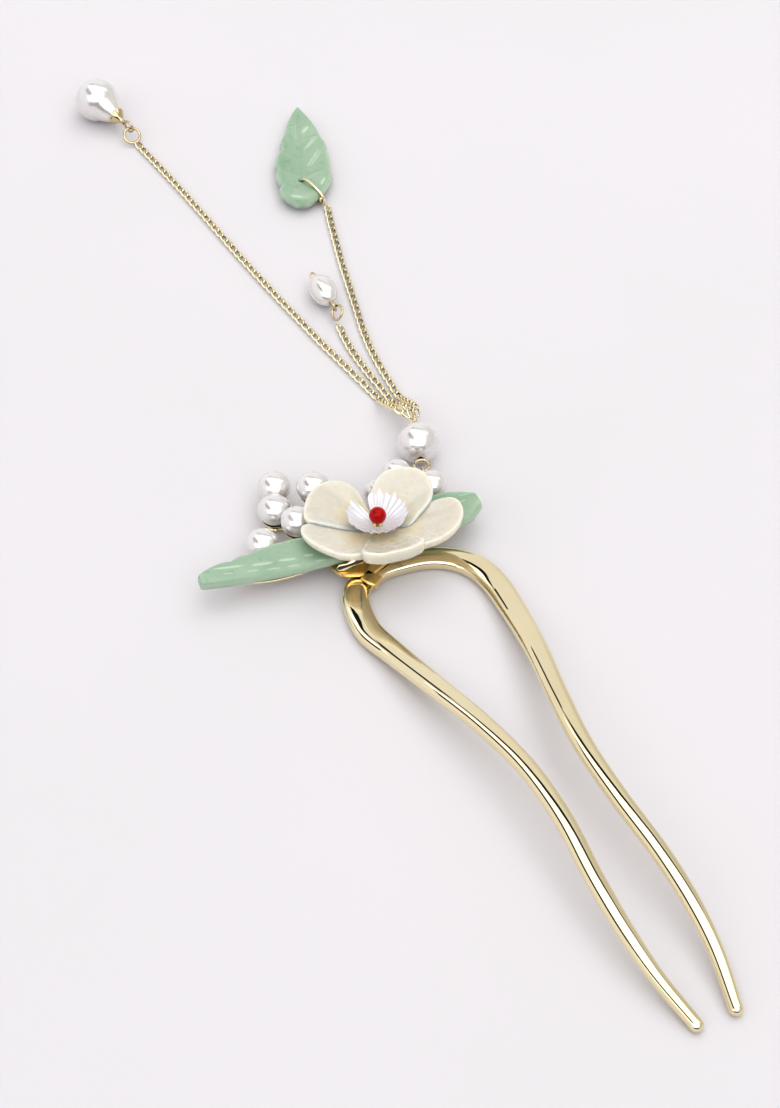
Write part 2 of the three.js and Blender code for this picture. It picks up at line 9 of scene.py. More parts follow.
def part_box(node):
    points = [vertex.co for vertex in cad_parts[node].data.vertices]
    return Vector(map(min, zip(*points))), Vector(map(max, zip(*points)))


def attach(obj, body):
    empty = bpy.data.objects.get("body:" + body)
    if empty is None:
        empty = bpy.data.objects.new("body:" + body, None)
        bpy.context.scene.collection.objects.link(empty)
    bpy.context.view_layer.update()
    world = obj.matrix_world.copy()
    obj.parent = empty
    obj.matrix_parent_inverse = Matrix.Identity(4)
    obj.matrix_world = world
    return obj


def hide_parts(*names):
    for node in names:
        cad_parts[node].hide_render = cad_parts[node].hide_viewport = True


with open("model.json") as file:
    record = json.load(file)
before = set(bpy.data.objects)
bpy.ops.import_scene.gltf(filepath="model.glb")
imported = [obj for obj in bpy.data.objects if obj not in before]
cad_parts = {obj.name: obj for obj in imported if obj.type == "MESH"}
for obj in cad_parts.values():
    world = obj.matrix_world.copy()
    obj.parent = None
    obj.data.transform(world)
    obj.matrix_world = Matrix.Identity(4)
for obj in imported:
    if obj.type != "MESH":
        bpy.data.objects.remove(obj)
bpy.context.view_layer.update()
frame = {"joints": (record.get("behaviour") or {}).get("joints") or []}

# A decorative hair fork lying on a pale table: polished pale gold, a milky glass flower, green glass leaves,
# pearl sprays and a three-strand chain tassel. Design sizes are in millimetres and meshes in metres.
MM = 0.001
TAU = 2 * pi
UP = Vector((0, 0, 1))
JOINTS = {joint["name"]: Vector(joint["pos_m"]) / MM for joint in frame["joints"]}

# ---- camera ----
CAMERA_AT = Vector((-188.98, -380.13, 435.88))
CAMERA_LOOKS_AT = Vector((-0.75, 4.63, 0))
CAMERA_LENS = 107.22

# ---- chains: the routes of the three cords ----
TABLE_Z = 0.8
LONG_CHAIN = [
    (15.5, 33.2, 3.3), (15.6, 35.4, 1.6), (15.7, 38, 0.85), (15.5, 43, TABLE_Z), (14.8, 48, TABLE_Z),
    (13.7, 55, TABLE_Z), (12.4, 63, TABLE_Z), (11.4, 71, TABLE_Z), (10.4, 79, TABLE_Z), (9.5, 87, TABLE_Z),
    (8.7, 95, TABLE_Z), (8, 103, TABLE_Z), (7.3, 111, TABLE_Z), (6.5, 119, TABLE_Z), (5.6, 127, TABLE_Z),
    (4.5, 135.9, TABLE_Z),
]
SHORT_CHAIN = [
    (17.25, 33.1, 3.3), (17.35, 35.3, 1.6), (17.45, 38, 0.85), (17.5, 41, TABLE_Z), (17.4, 44, TABLE_Z),
    (17.2, 47, TABLE_Z), (17, 50, TABLE_Z), (16.9, 53, TABLE_Z), (16.9, 56, TABLE_Z), (17, 59, TABLE_Z),
    (17.3, 62, TABLE_Z), (17.7, 65, TABLE_Z),
]
LEAF_CHAIN = [
    (19, 33.2, 3.3), (19.1, 35.4, 1.6), (19.25, 38, 0.85), (19.4, 42, TABLE_Z), (19.6, 46, TABLE_Z),
    (19.8, 50, TABLE_Z), (20.4, 56, TABLE_Z), (21.5, 62, TABLE_Z), (23.1, 68.6, TABLE_Z),
    (24.8, 75.5, TABLE_Z), (26.5, 82.5, TABLE_Z), (28.3, 89, TABLE_Z), (30, 95, TABLE_Z),
    (31.4, 99.6, TABLE_Z),
]
ROUTE_LEAD = 3  # points of a route that the strand's own hook and fan stand in for
ROUTE_STEPS = 200
CHAIN_D = 1.4
LINK_PITCH = 1.85
LINK_INSET = 0.3  # from the end of the cord to the middle of its last link
LINK_WIRE = 0.21  # radius of a link's wire
LINK_HALF_WIDTH = 0.62  # of its centreline
LINK_SQUARENESS = 0.8  # power that turns its ellipse into a squarer oval
LINK_TWIST = radians(38)  # each way from its middle
LINK_DROP = 0.18  # the flat links lie this much under the cord's centreline
LINK_DROPS_FROM = 8  # and sink that low over this stretch from the pearl
LINK_DROPS_TO = 13
LINK_ROLL = 7  # how far a link is out of true, in degrees
LINK_SWAY = 3

# ---- fork: centreline [x, y, height of the middle, width, thickness, squareness of the section] ----
ARCH = [
    (-13.4, -13, 1.42, 5.2, 2.6, 2.7),
    (-13.1, -8.2, 1.34, 5.1, 2.6, 2.8),
    (-11.8, -3.8, 1.3, 5.1, 2.6, 2.8),
    (-9, -0.7, 1.3, 5, 2.6, 2.8),
    (-5, 0.5, 1.3, 4.6, 2.6, 2.8),
    (0, 0.3, 1.3, 4.4, 2.6, 2.8),
    (5, -0.8, 1.3, 4.5, 2.6, 2.8),
    (9, -3.3, 1.3, 4.8, 2.6, 2.8),
    (11.6, -7, 1.33, 5.1, 2.6, 2.8),
    (12.6, -12, 1.4, 5.2, 2.6, 2.7),
]
PRONG = [
    (12.1, -20, 2.3, 4.9, 2.6, 2.6),
    (10, -33, 5, 4.3, 2.6, 2.5),
    (7.4, -46, 6.8, 3.9, 2.6, 2.4),
    (5.6, -58.5, 7.7, 3.7, 2.6, 2.3),
    (5.4, -71.5, 7.7, 3.6, 2.6, 2.2),
    (6.3, -84, 6.6, 3.5, 2.5, 2.2),
    (6.4, -95, 5.1, 3.3, 2.4, 2.1),
    (5.7, -104, 3.4, 2.9, 2.3, 2.1),
    (3.7, -114.4, 1.2, 2.5, 2.2, 2),
]
TIP_ROUND = 1.2
TIP_STEPS = 7
FORK_SIDES = 64
FORK_STEPS = 300


# ---- mesh helpers: a part is (points in mm, faces) ----
def vec(*xyz):
    return Vector(xyz)


def heading(turn, rise):
    """A unit vector at a direction in plan and a rise, in degrees."""
    turn, rise = radians(turn), radians(rise)
    return vec(cos(turn) * cos(rise), sin(turn) * cos(rise), sin(rise))


def smoothstep(low, high, value):
    share = min(1, max(0, (value - low) / (high - low)))
    return share * share * (3 - 2 * share)


def merge(*parts):
    points, faces = [], []
    for part_points, part_faces in parts:
        start = len(points)
        points += part_points
        faces += [tuple(start + i for i in face) for face in part_faces]
    return points, faces


def moved(part, matrix):
    return [matrix @ point for point in part[0]], part[1]


def put(part, place):
    return moved(part, Matrix.Translation(place))


def turned(angle, axis):
    """A turn about an axis by an angle in degrees."""
    return Matrix.Rotation(radians(angle), 4, axis)


def bulged(value, power):
    """A sine or cosine under a power, which squares a round section off."""
    return copysign(abs(value) ** power, value)


def loft(rings, closed=False, start=None, end=None):
    """A skin over rings of points. start and end are poles, or None for a flat cap."""
    sides = len(rings[0])
    points = [point for ring in rings for point in ring]
    faces = []
    for i in range(len(rings) if closed else len(rings) - 1):
        here, there = i * sides, ((i + 1) % len(rings)) * sides
        for j in range(sides):
            k = (j + 1) % sides
            faces.append((here + j, here + k, there + k, there + j))
    if not closed:
        last = (len(rings) - 1) * sides
        for pole, base, order in ((start, 0, -1), (end, last, 1)):
            ring = [base + j for j in range(sides)][::order]
            if pole is None:
                faces.append(tuple(ring))
            else:
                points.append(pole)
                faces += [(ring[j], ring[(j + 1) % sides], len(points) - 1) for j in range(sides)]
    return points, faces


def lathe(profile, sides=48):
    """Turns (radius, height) pairs about Z, from the bottom up on the outside."""
    poles = [None, None]
    rings = list(profile)
    for end, place in ((0, 0), (1, -1)):
        if rings[place][0] == 0:
            poles[end] = vec(0, 0, rings.pop(place)[1])
    angles = [TAU * j / sides for j in range(sides)]
    rings = [[vec(r * cos(a), r * sin(a), z) for a in angles] for r, z in rings]
    return loft(rings, start=poles[0], end=poles[1])


def arc(radius, half, low, high, steps):
    """(radius, height) pairs on an ellipse about the axis, angles in degrees up from the equator."""
    angles = [radians(low + (high - low) * i / steps) for i in range(steps + 1)]
    return [(0 if abs(cos(a)) < 1e-6 else radius * cos(a), half * sin(a)) for a in angles]


def aimed(part, direction, place):
    """Turns a part made along +Z to a direction, and moves it to a place."""
    turn = UP.rotation_difference(direction).to_matrix().to_4x4()
    return moved(part, Matrix.Translation(place) @ turn)


def along_path(points, closed=False):
    """Tangent, side and up at each point of a path, with no twist between them."""
    count = len(points)
    tangents = []
    for i in range(count):
        before = points[i - 1] if closed or i else points[0]
        after = points[(i + 1) % count] if closed or i < count - 1 else points[-1]
        tangents.append((after - before).normalized())
    side = tangents[0].cross(UP)
    if side.length < 1e-3:
        side = tangents[0].cross(vec(1, 0, 0))
    frames = []
    for tangent in tangents:
        side = (side - tangent * side.dot(tangent)).normalized()
        frames.append((tangent, side, side.cross(tangent)))
    return frames


ROUND_END = [0.35, 0.8, 1.2]  # angles from the pole of a wire's round end


def tube(points, radius, sides=12, closed=False):
    """A round wire along a path, with rounded ends."""
    frames = along_path(points, closed)
    angles = [TAU * j / sides for j in range(sides)]

    def ring(i, scale, push):
        tangent, side, up = frames[i]
        middle = points[i] + tangent * push
        return [middle + (side * cos(a) + up * sin(a)) * radius * scale for a in angles]

    rings = [ring(i, 1, 0) for i in range(len(points))]
    if not closed:
        first = [ring(0, sin(a), -radius * cos(a)) for a in ROUND_END]
        last = [ring(-1, sin(a), radius * cos(a)) for a in reversed(ROUND_END)]
        rings = first + rings + last
    return loft(rings, closed=closed)


def circle(middle, normal, radius, turns=48, start=0, sweep=TAU):
    """Points on a circle. Less than a whole sweep leaves the slit of an open ring."""
    first = normal.orthogonal().normalized()
    second = normal.normalized().cross(first)
    count = turns if sweep == TAU else turns + 1
    angles = [start + sweep * i / turns for i in range(count)]
    return [middle + (first * cos(a) + second * sin(a)) * radius for a in angles]


def wire_ring(middle, normal, radius, wire, slit=None):
    """A round ring of wire. slit is the angle at which it is cut, as a jump ring is."""
    if slit is None:
        return tube(circle(middle, normal, radius), wire, closed=True)
    gap = 0.035 / radius
    return tube(circle(middle, normal, radius, 60, slit + gap, TAU - 2 * gap), wire)


def spline(points, share):
    """A point on the centripetal Catmull-Rom curve through points, of three or more numbers each."""
    place = (len(points) - 1) * share
    i = min(int(place), len(points) - 2)
    w = place - i
    p1, p2 = points[i], points[i + 1]
    p0 = points[i - 1] if i else [2 * a - b for a, b in zip(p1, p2)]
    p3 = points[i + 2] if i + 2 < len(points) else [2 * a - b for a, b in zip(p2, p1)]

    def step(a, b):
        return max(1e-4, sum((m - n) ** 2 for m, n in zip(a[:3], b[:3])) ** 0.25)

    d0, d1, d2 = step(p0, p1), step(p1, p2), step(p2, p3)
    found = []
    for a, b, c, d in zip(p0, p1, p2, p3):
        t1 = ((b - a) / d0 - (c - a) / (d0 + d1) + (c - b) / d1) * d1
        t2 = ((c - b) / d1 - (d - b) / (d1 + d2) + (d - c) / d2) * d1
        square = -3 * b + 3 * c - 2 * t1 - t2
        cube = 2 * b - 2 * c + t1 + t2
        found.append(b + t1 * w + square * w * w + cube * w * w * w)
    return found


def by_length(points, distance):
    """Position and direction at a distance along a line of points."""
    for a, b in zip(points, points[1:]):
        step = (b - a).length
        if distance <= step or b is points[-1]:
            return a.lerp(b, distance / step), (b - a).normalized()
        distance -= step


def length_of(points):
    return sum((b - a).length for a, b in zip(points, points[1:]))


def rounded_slab(outline, low, high, bevel, steps=3):
    """A plate over a closed outline of (x, y), with rounded edges."""
    count = len(outline)
    normals = []
    for i in range(count):
        (x0, y0), (x1, y1) = outline[i - 1], outline[(i + 1) % count]
        size = hypot(x1 - x0, y1 - y0)
        normals.append(((y1 - y0) / size, -(x1 - x0) / size))

    def ring(inset, z):
        return [vec(x - inset * nx, y - inset * ny, z) for (x, y), (nx, ny) in zip(outline, normals)]

    turns = [pi / 2 * i / steps for i in range(steps + 1)]
    rings = [ring(bevel * (1 - sin(a)), low + bevel * (1 - cos(a))) for a in turns]
    rings += [ring(bevel * (1 - cos(a)), high - bevel * (1 - sin(a))) for a in turns]
    return loft(rings)


def new_object(name, data):
    thing = bpy.data.objects.new(name, data)
    bpy.context.scene.collection.objects.link(thing)
    return thing


def make(name, part, finish, node=None, body="root", sharp=40):
    """A Blender object from a part, smooth but for its sharp edges, that stands for a node on its body."""
    points, faces = part
    material, slot = finish
    mesh = bpy.data.meshes.new(name)
    mesh.from_pydata([tuple(point * MM) for point in points], [], faces)
    mesh.validate()
    mesh.shade_smooth()
    mesh.set_sharp_from_angle(angle=radians(sharp))
    mesh.materials.append(material)
    piece = new_object(name, mesh)
    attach(piece, body)
    if node:
        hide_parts(node)
    return piece


def middle_of(node):
    low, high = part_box(node)
    return (low + high) / 2 / MM


# ---- materials ----
def new_material(name, **settings):
    """A Principled material with its even values set on the shader's own sockets."""
    material = bpy.data.materials.new(name)
    material.use_nodes = True
    shader = material.node_tree.nodes["Principled BSDF"]
    for socket, value in settings.items():
        shader.inputs[socket.replace("_", " ")].default_value = value
    return material, material.node_tree, shader


def add(tree, kind, inputs=(), **settings):
    """A shader node. inputs are (socket, value or output socket) pairs."""
    node = tree.nodes.new("ShaderNode" + kind)
    for name, value in settings.items():
        setattr(node, name, value)
    for socket, value in inputs:
        if isinstance(value, bpy.types.NodeSocket):
            tree.links.new(value, node.inputs[socket])
        else:
            node.inputs[socket].default_value = value
    return node


def object_place(tree):
    return add(tree, "TexCoord").outputs["Object"]


def noise(tree, scale, detail, roughness=0.5):
    """Noise in the piece's own frame. scale is in bumps per metre."""
    inputs = [("Vector", object_place(tree)), ("Scale", scale), ("Detail", detail), ("Roughness", roughness)]
    return add(tree, "TexNoise", inputs).outputs["Fac"]


def ramp(tree, value, stops):
    """Colours along a value. stops are (place, colour) pairs."""
    node = add(tree, "ValToRGB", [("Fac", value)])
    for i, (place, color) in enumerate(stops):
        stop = node.color_ramp.elements[i] if i < 2 else node.color_ramp.elements.new(place)
        stop.position = place
        stop.color = (*color, 1)
    return node.outputs["Color"]


def between(tree, value, low, high, to_low, to_high, **settings):
    """Maps a value from one range to another, and keeps it in there."""
    limits = [("From Min", low), ("From Max", high), ("To Min", to_low), ("To Max", to_high)]
    return add(tree, "MapRange", [("Value", value)] + limits, **settings).outputs[0]


def maths(tree, operation, a, b=0.0):
    return add(tree, "Math", [(0, a), (1, b)], operation=operation).outputs[0]


def measure(tree, a, b, operation="DOT_PRODUCT"):
    return add(tree, "VectorMath", [(0, a), (1, tuple(b))], operation=operation).outputs["Value"]


def mixed(tree, share, a, b):
    """One colour or the other by a share."""
    a, b = [(*colour, 1) if isinstance(colour, tuple) else colour for colour in (a, b)]
    return add(tree, "Mix", [(0, share), (6, a), (7, b)], data_type="RGBA").outputs[2]


def attribute(tree, name):
    return add(tree, "Attribute", attribute_name=name).outputs["Fac"]


def link_satin(tree, shader, scale, detail, smoothest, roughest):
    """A roughness that drifts over the surface."""
    drift = between(tree, noise(tree, scale, detail), 0.3, 0.7, smoothest, roughest)
    tree.links.new(drift, shader.inputs["Roughness"])


def link_ripple(tree, shader, scale, detail, height):
    """The gentle relief of a cast or moulded face. height is in metres."""
    inputs = [("Height", noise(tree, scale, detail)), ("Distance", height)]
    tree.links.new(add(tree, "Bump", inputs).outputs[0], shader.inputs["Normal"])


def gold_material(name, pale, deep, rough_low, rough_high, painted_shade_reach=0):
    """Polished plating: a slow drift of colour, a fine haze and the faint ripple of a cast part.
    With a painted_shade_reach it gets a painted brown shade where wires lie close together."""
    material, tree, shader = new_material(name, Metallic=1.0)
    colour = ramp(tree, noise(tree, 60, 2), [(0.3, pale), (0.75, deep)])
    if painted_shade_reach:
        openness = add(tree, "AmbientOcclusion", [("Distance", painted_shade_reach)], samples=8).outputs["AO"]
        # painted shade: the colour turns dark brown where ambient occlusion finds close neighbours
        colour = mixed(tree, between(tree, openness, 0.3, 0.85, 0, 1), (0.2, 0.13, 0.05), colour)
    tree.links.new(colour, shader.inputs["Base Color"])
    haze = between(tree, noise(tree, 900, 4, 0.7), 0.35, 0.7, rough_low, rough_high)
    tree.links.new(haze, shader.inputs["Roughness"])
    link_ripple(tree, shader, 180, 2, 0.00002)
    return material


def pearl_material():
    """Pearl: a white body with depth, a satin lustre and a faint drift of pink and cream."""
    material, tree, shader = new_material(
        "pearl", Metallic=0.6, IOR=1.6, Subsurface_Weight=0.15, Subsurface_Scale=0.0008,
        Subsurface_Radius=(1.0, 0.85, 0.75), Coat_Weight=1.0, Coat_Roughness=0.1, Coat_IOR=1.7,
    )
    blush = ramp(tree, noise(tree, 130, 2), [(0.3, (0.75, 0.72, 0.695)), (0.7, (0.73, 0.705, 0.7))])
    tree.links.new(blush, shader.inputs["Base Color"])
    link_satin(tree, shader, 400, 2, 0.2, 0.25)
    return material


def milk_glass_material(centre):
    """Milky glass: cream that turns amber towards the flower's middle, with cloudy depth and a painted glow
    along the petals' edges.
    """
    material, tree, shader = new_material(
        "milk_glass", IOR=1.5, Subsurface_Weight=0.85, Subsurface_Scale=0.003,
        Subsurface_Radius=(1.0, 0.8, 0.55), Coat_Weight=0.8, Coat_Roughness=0.1,
    )
    tones = [(0.3, (0.56, 0.52, 0.435)), (0.55, (0.57, 0.535, 0.45)), (0.8, (0.54, 0.545, 0.47))]
    body = ramp(tree, noise(tree, 160, 3), tones)
    from_centre = measure(tree, object_place(tree), centre * MM, "DISTANCE")
    reach = between(tree, from_centre, 0.0055, 0.0095, 0.85, 0.0)
    amber = mixed(tree, reach, body, (0.68, 0.56, 0.36))
    # painted edge glow: the petals' lips, facets and undersides are mixed towards a paler cream
    rim = between(tree, attribute(tree, "rim"), 0, 1, 0, 0.6)
    tree.links.new(mixed(tree, rim, amber, (0.68, 0.67, 0.6)), shader.inputs["Base Color"])
    link_satin(tree, shader, 500, 3, 0.22, 0.34)
    link_ripple(tree, shader, 120, 1, 0.00003)
    return material


def green_glass_material():
    """Pale green glass, cloudy inside, with a painted highlight along its carved veins that makes them read
    nearly white.
    """
    material, tree, shader = new_material(
        "green_glass", IOR=1.5, Subsurface_Weight=0.8, Subsurface_Scale=0.002,
        Subsurface_Radius=(0.6, 1.0, 0.7), Coat_Weight=0.4, Coat_Roughness=0.15,
    )
    tones = [(0.25, (0.19, 0.32, 0.205)), (0.55, (0.25, 0.37, 0.25)), (0.8, (0.32, 0.42, 0.3))]
    body = ramp(tree, noise(tree, 130, 3), tones)
    # painted highlight: the "pale" attribute lightens the carved veins, and makes the edges a little paler
    vein_highlighted = mixed(tree, attribute(tree, "pale"), body, (0.58, 0.68, 0.56))
    tree.links.new(vein_highlighted, shader.inputs["Base Color"])
    link_satin(tree, shader, 600, 3, 0.25, 0.4)
    link_ripple(tree, shader, 120, 1, 0.00002)
    return material


def shell_cup_material():
    """Silvery pressed cup with a glossy coat, a little pink here and blue there."""
    material, tree, shader = new_material("shell_cup", Metallic=0.2, Coat_Weight=0.5, Coat_Roughness=0.1)
    tint = ramp(tree, noise(tree, 500, 2), [(0.3, (0.72, 0.69, 0.72)), (0.7, (0.68, 0.7, 0.72))])
    tree.links.new(tint, shader.inputs["Base Color"])
    link_satin(tree, shader, 2500, 3, 0.14, 0.28)
    return material


def red_glass_material():
    """Deep red bead with a soft bloom on its face."""
    material, tree, shader = new_material(
        "red_glass", IOR=1.5, Subsurface_Weight=0.2, Subsurface_Scale=0.0006,
        Subsurface_Radius=(1.0, 0.15, 0.1), Specular_IOR_Level=0.12,
    )
    deep = ramp(tree, noise(tree, 900, 2), [(0.3, (0.3, 0.0, 0.0)), (0.7, (0.38, 0.0, 0.001))])
    tree.links.new(deep, shader.inputs["Base Color"])
    link_satin(tree, shader, 3000, 2, 0.12, 0.2)
    return material


# ---- camera ----
def place_camera():
    data = bpy.data.cameras.new("camera")
    data.lens = CAMERA_LENS
    camera = new_object("camera", data)
    camera.location = CAMERA_AT * MM
    camera.rotation_euler = (CAMERA_LOOKS_AT - CAMERA_AT).to_track_quat("-Z", "Y").to_euler()
    bpy.context.scene.camera = camera


place_camera()

# finishes: a material and a slot name
POLISHED = "polished_gold"
THIN = "gold_wire"
GOLD = gold_material("polished_gold", (0.86, 0.76, 0.51), (0.82, 0.71, 0.45), 0.015, 0.04), POLISHED
# a darker amber copy of the gold: painted shade and painted warm reflection for the plate under the flower
SHADED_PLATE_GOLD = gold_material("plate_gold_shaded", (0.85, 0.63, 0.27), (0.76, 0.52, 0.18), 0.1, 0.2), POLISHED
# the last number adds painted shade where the links lie close together
GOLD_WIRE = gold_material("gold_wire", (0.86, 0.76, 0.5), (0.8, 0.69, 0.42), 0.06, 0.12, 0.0007), THIN
# a darker copy of the wire gold: painted shade for the dark reflections on the small rings, plus painted
# crevice shade
SHADED_RING_GOLD = gold_material("ring_gold_shaded", (0.66, 0.54, 0.33), (0.55, 0.43, 0.25), 0.05, 0.1, 0.0012), THIN
PEARL = pearl_material(), "pearl"
GREEN_GLASS = green_glass_material(), "green_glass"
SHELL_CUP = shell_cup_material(), "shell_cup"
RED_GLASS = red_glass_material(), "red_glass"

# ---- tassel: joints and middles from the frame ----
PEARL_MIDDLE = middle_of("big_pearl")
FAR_EYE = JOINTS["long_chain_swing"]
LINK = (FAR_EYE - PEARL_MIDDLE).normalized()
NEAR_EYE = PEARL_MIDDLE * 2 - FAR_EYE
LINK_SIDE = LINK.cross(UP).normalized()
WIRE = 0.3
EYE_R = 1.4
RING_R = 1.7
PEARL_R = 4
PEARL_BORE = 0.6


def link_part():
    """One curb link about the origin, along X: an oval of wire, its two ends twisted opposite ways."""
    half = (LINK_PITCH + 2 * LINK_WIRE) / 2
    points = []
    for i in range(32):
        c, s = cos(TAU * i / 32), sin(TAU * i / 32)
        x = bulged(c, LINK_SQUARENESS) * half
        y = bulged(s, LINK_SQUARENESS) * LINK_HALF_WIDTH
        twist = LINK_TWIST * x / half
        points.append(vec(x, y * cos(twist), y * sin(twist)))
    return tube(points, LINK_WIRE, sides=8, closed=True)


def chain_part(line, seed):
    """Links along a line, each a little out of true."""
    rand = random.Random(seed)
    template = link_part()
    parts = []
    reach = length_of(line) - 2 * LINK_INSET
    count = int(reach / LINK_PITCH)
    pitch = reach / count
    for i in range(count + 1):
        place, tangent = by_length(line, LINK_INSET + i * pitch)
        drop = LINK_DROP * smoothstep(LINK_DROPS_FROM, LINK_DROPS_TO, i * pitch)
        side = UP.cross(tangent).normalized()
        turn = Matrix((tangent, side, tangent.cross(side))).transposed().to_4x4()
        roll = turned(rand.uniform(-LINK_ROLL, LINK_ROLL), "X")
        sway = turned(rand.uniform(-LINK_SWAY, LINK_SWAY), "Z")
        parts.append(moved(template, Matrix.Translation(place - UP * drop) @ turn @ sway @ roll))
    return merge(*parts)


def drilled_pearl(radius, half, bore, drilled, steps, sides):
    """A pearl about the origin with a bore along Z, whose ends lie at the height drilled."""
    rim = degrees(acos(bore / radius))
    points, faces = lathe(arc(radius, half, -rim, rim, steps) + [(bore, drilled), (bore, -drilled)], sides)
    return points, faces[:-2]


def make_chain(node, route, aside, seed, pieces):
    """A strand from the pearl's far eye, hooked a little aside of its middle."""
    start = FAR_EYE + LINK * (EYE_R + 0.2) + LINK_SIDE * aside
    fan = start + LINK * 1.8 + LINK_SIDE * 1.9 * min(0, aside)
    route = [tuple(start), tuple(fan)] + route[ROUTE_LEAD:]
    line = [Vector(spline(route, i / ROUTE_STEPS)) for i in range(ROUTE_STEPS + 1)]
    chain = make(node + "_links", chain_part(line, seed), GOLD_WIRE, node, node)


# ---- drop pearl on the long chain ----
DROP_ALONG = heading(109, 9)
DROP_MIDDLE = vec(0.8, 149.1, 4.5)
DROP_R = 4.5
# half sections (radius, height): the pearl below its round end, and the bell cap from its crown
DROP_NECK = [(0, -7.3), (0.9, -7.2), (1.25, -6.7), (1.6, -6.1), (2.1, -5.2), (2.65, -4.3)]
BELL_LOW = -8.75
BELL = [
    (0, 0), (0.5, 0), (0.62, 0.15), (0.5, 0.4), (0.5, 0.75), (0.72, 1.15), (1.1, 1.55), (1.5, 2),
    (1.72, 2.45), (1.86, 2.7), (1.78, 2.95), (1.6, 2.85), (1.2, 2.1), (0.6, 1.4), (0, 1.3),
]
BELL_SCALLOPS = 12


def make_drop():
    facing = vec(1, 0, 0).cross(heading(90, 35))
    ring = wire_ring(middle_of("drop_ring"), facing, 1.68, 0.29, slit=2.4)
    pearl = lathe(DROP_NECK + arc(DROP_R, DROP_R, -43, 90, 40), 72)
    points, faces = lathe([(r, BELL_LOW + rise) for r, rise in BELL], 60)
    scalloped = []
    for point in points:
        rim = smoothstep(BELL_LOW + 2.2, BELL_LOW + 2.6, point.z)
        wave = 1 + 0.06 * rim * cos(BELL_SCALLOPS * atan2(point.y, point.x))
        scalloped.append(vec(point.x * wave, point.y * wave, point.z))
    cap = aimed((scalloped, faces), DROP_ALONG, DROP_MIDDLE)
    eye_middle = DROP_MIDDLE + DROP_ALONG * (BELL_LOW - 1.35)
    cap = merge(cap, wire_ring(eye_middle, UP.cross(DROP_ALONG), 1.2, 0.26))
    pearl = aimed(pearl, DROP_ALONG, DROP_MIDDLE)
    return [
        make("drop_jump_ring", ring, SHADED_RING_GOLD, "drop_ring", "drop_pendant"),
        make("drop_teardrop_pearl", pearl, PEARL, "drop_pearl", "drop_pendant"),
        make("drop_bell_cap", cap, SHADED_RING_GOLD, "drop_cap", "drop_pendant"),
    ]


# ---- rice pearl on the short chain ----
RICE_MIDDLE = middle_of("rice_pearl")
RICE_R = 2.65
RICE_HALF = 4
RICE_BORE = 0.5
RICE_WIRE = 0.24
WRAP_TURNS = 2.5


def make_rice():
    flat = heading(88, 0)
    pearl = aimed(drilled_pearl(RICE_R, RICE_HALF, RICE_BORE, 3.4, 40, 56), flat, RICE_MIDDLE)
    eye = RICE_MIDDLE - flat * (RICE_HALF + 1.25)
    curl = RICE_MIDDLE + flat * (RICE_HALF + 0.85)
    stem = tube([eye + flat * 0.9, RICE_MIDDLE, curl - flat * 0.6], RICE_WIRE)
    wrap = []
    for i in range(81):
        a = TAU * WRAP_TURNS * i / 80
        spin = vec(cos(a), 0, sin(a)) * 0.42
        wrap.append(eye + flat * (1.05 + 0.3 * i / 80) + spin)
    hook = circle(curl, vec(0.2, -0.4, 1), 0.65, 40, 0.6, TAU * 0.86)
    pin = merge(wire_ring(eye, vec(1, 0, 0.3), 1, 0.26), stem, tube(hook, RICE_WIRE), tube(wrap, 0.13, 8))
    lean = radians(55)
    ring = wire_ring(middle_of("rice_ring"), vec(-sin(lean), 0, cos(lean)), 1.5, 0.27, slit=1.2)
    return [
        make("rice_pearl_bead", pearl, PEARL, "rice_pearl", "rice_pendant"),
        make("rice_eye_pin", pin, SHADED_RING_GOLD, "rice_pin", "rice_pendant"),
        make("rice_jump_ring", ring, SHADED_RING_GOLD, "rice_ring", "rice_pendant"),
    ]


# ---- carved glass leaves ----
LEAF_THICK = 2.6
CHARM = {"root": vec(26.6, 101.4, 2.45), "turn": 67.1, "roll": 0, "dip": 1.9}
CHARM_START = -0.8
CHARM_END = 31.6
CHARM_HOLE = 5.9
CHARM_HOLE_R = 0.75


def leaf_placing(root, turn, roll, dip=0):
    """Where a leaf made along +X from its root lies."""
    return Matrix.Translation(root) @ turned(turn, "Z") @ turned(dip, "Y") @ turned(roll, "X")


def lobed(x, lobes):
    """Half width at x of an edge made of lobes, each (start x, half width there, bulge up to the next)."""
    for (x0, w0, bulge), (x1, w1, _) in zip(lobes, lobes[1:]):
        if x <= x1:
            t = min(1, max(0, (x - x0) / (x1 - x0)))
            return w0 + (w1 - w0) * t + bulge * (4 * t * (1 - t)) ** 0.75
    return lobes[-1][1]


def carved_leaf(start, end, lobes, thick, carve, rows=240, across=60, edge=5):
    """A leaf along +X. lobes are its far (+Y) and near (-Y) edges. carve(x, y) gives depth and painted vein
    highlight.
    Returns the part and the lightening of each point: painted highlight in the veins, and a little paler
    towards the edges."""
    rings, pale = [], []
    for i in range(rows + 1):
        x = start + (end - start) * (1 - cos(pi * i / rows)) / 2
        far, near = lobed(x, lobes[0]), lobed(x, lobes[1])
        ends = min(1, 0.45 + (x - start) / 0.8, 0.62 + (end - x) / 0.6)
        ring = []
        for j in range(2 * across):
            top = j < across
            a = pi * (j + 0.5) / across
            v = cos(a)
            y = v * (far if v > 0 else near)
            body = (1 - abs(v) ** edge) ** 0.5
            depth, tint = carve(x, y) if top else (0, 0)
            z = thick / 2 * body * ends
            ring.append(vec(x, y, z - depth * body if top else -z))
            # painted highlight in the carved veins, and a little paler towards the edges
            pale.append(max(tint, 0.3 * smoothstep(0.8, 1, abs(v))))
        rings.append(ring)
    return loft(rings), pale


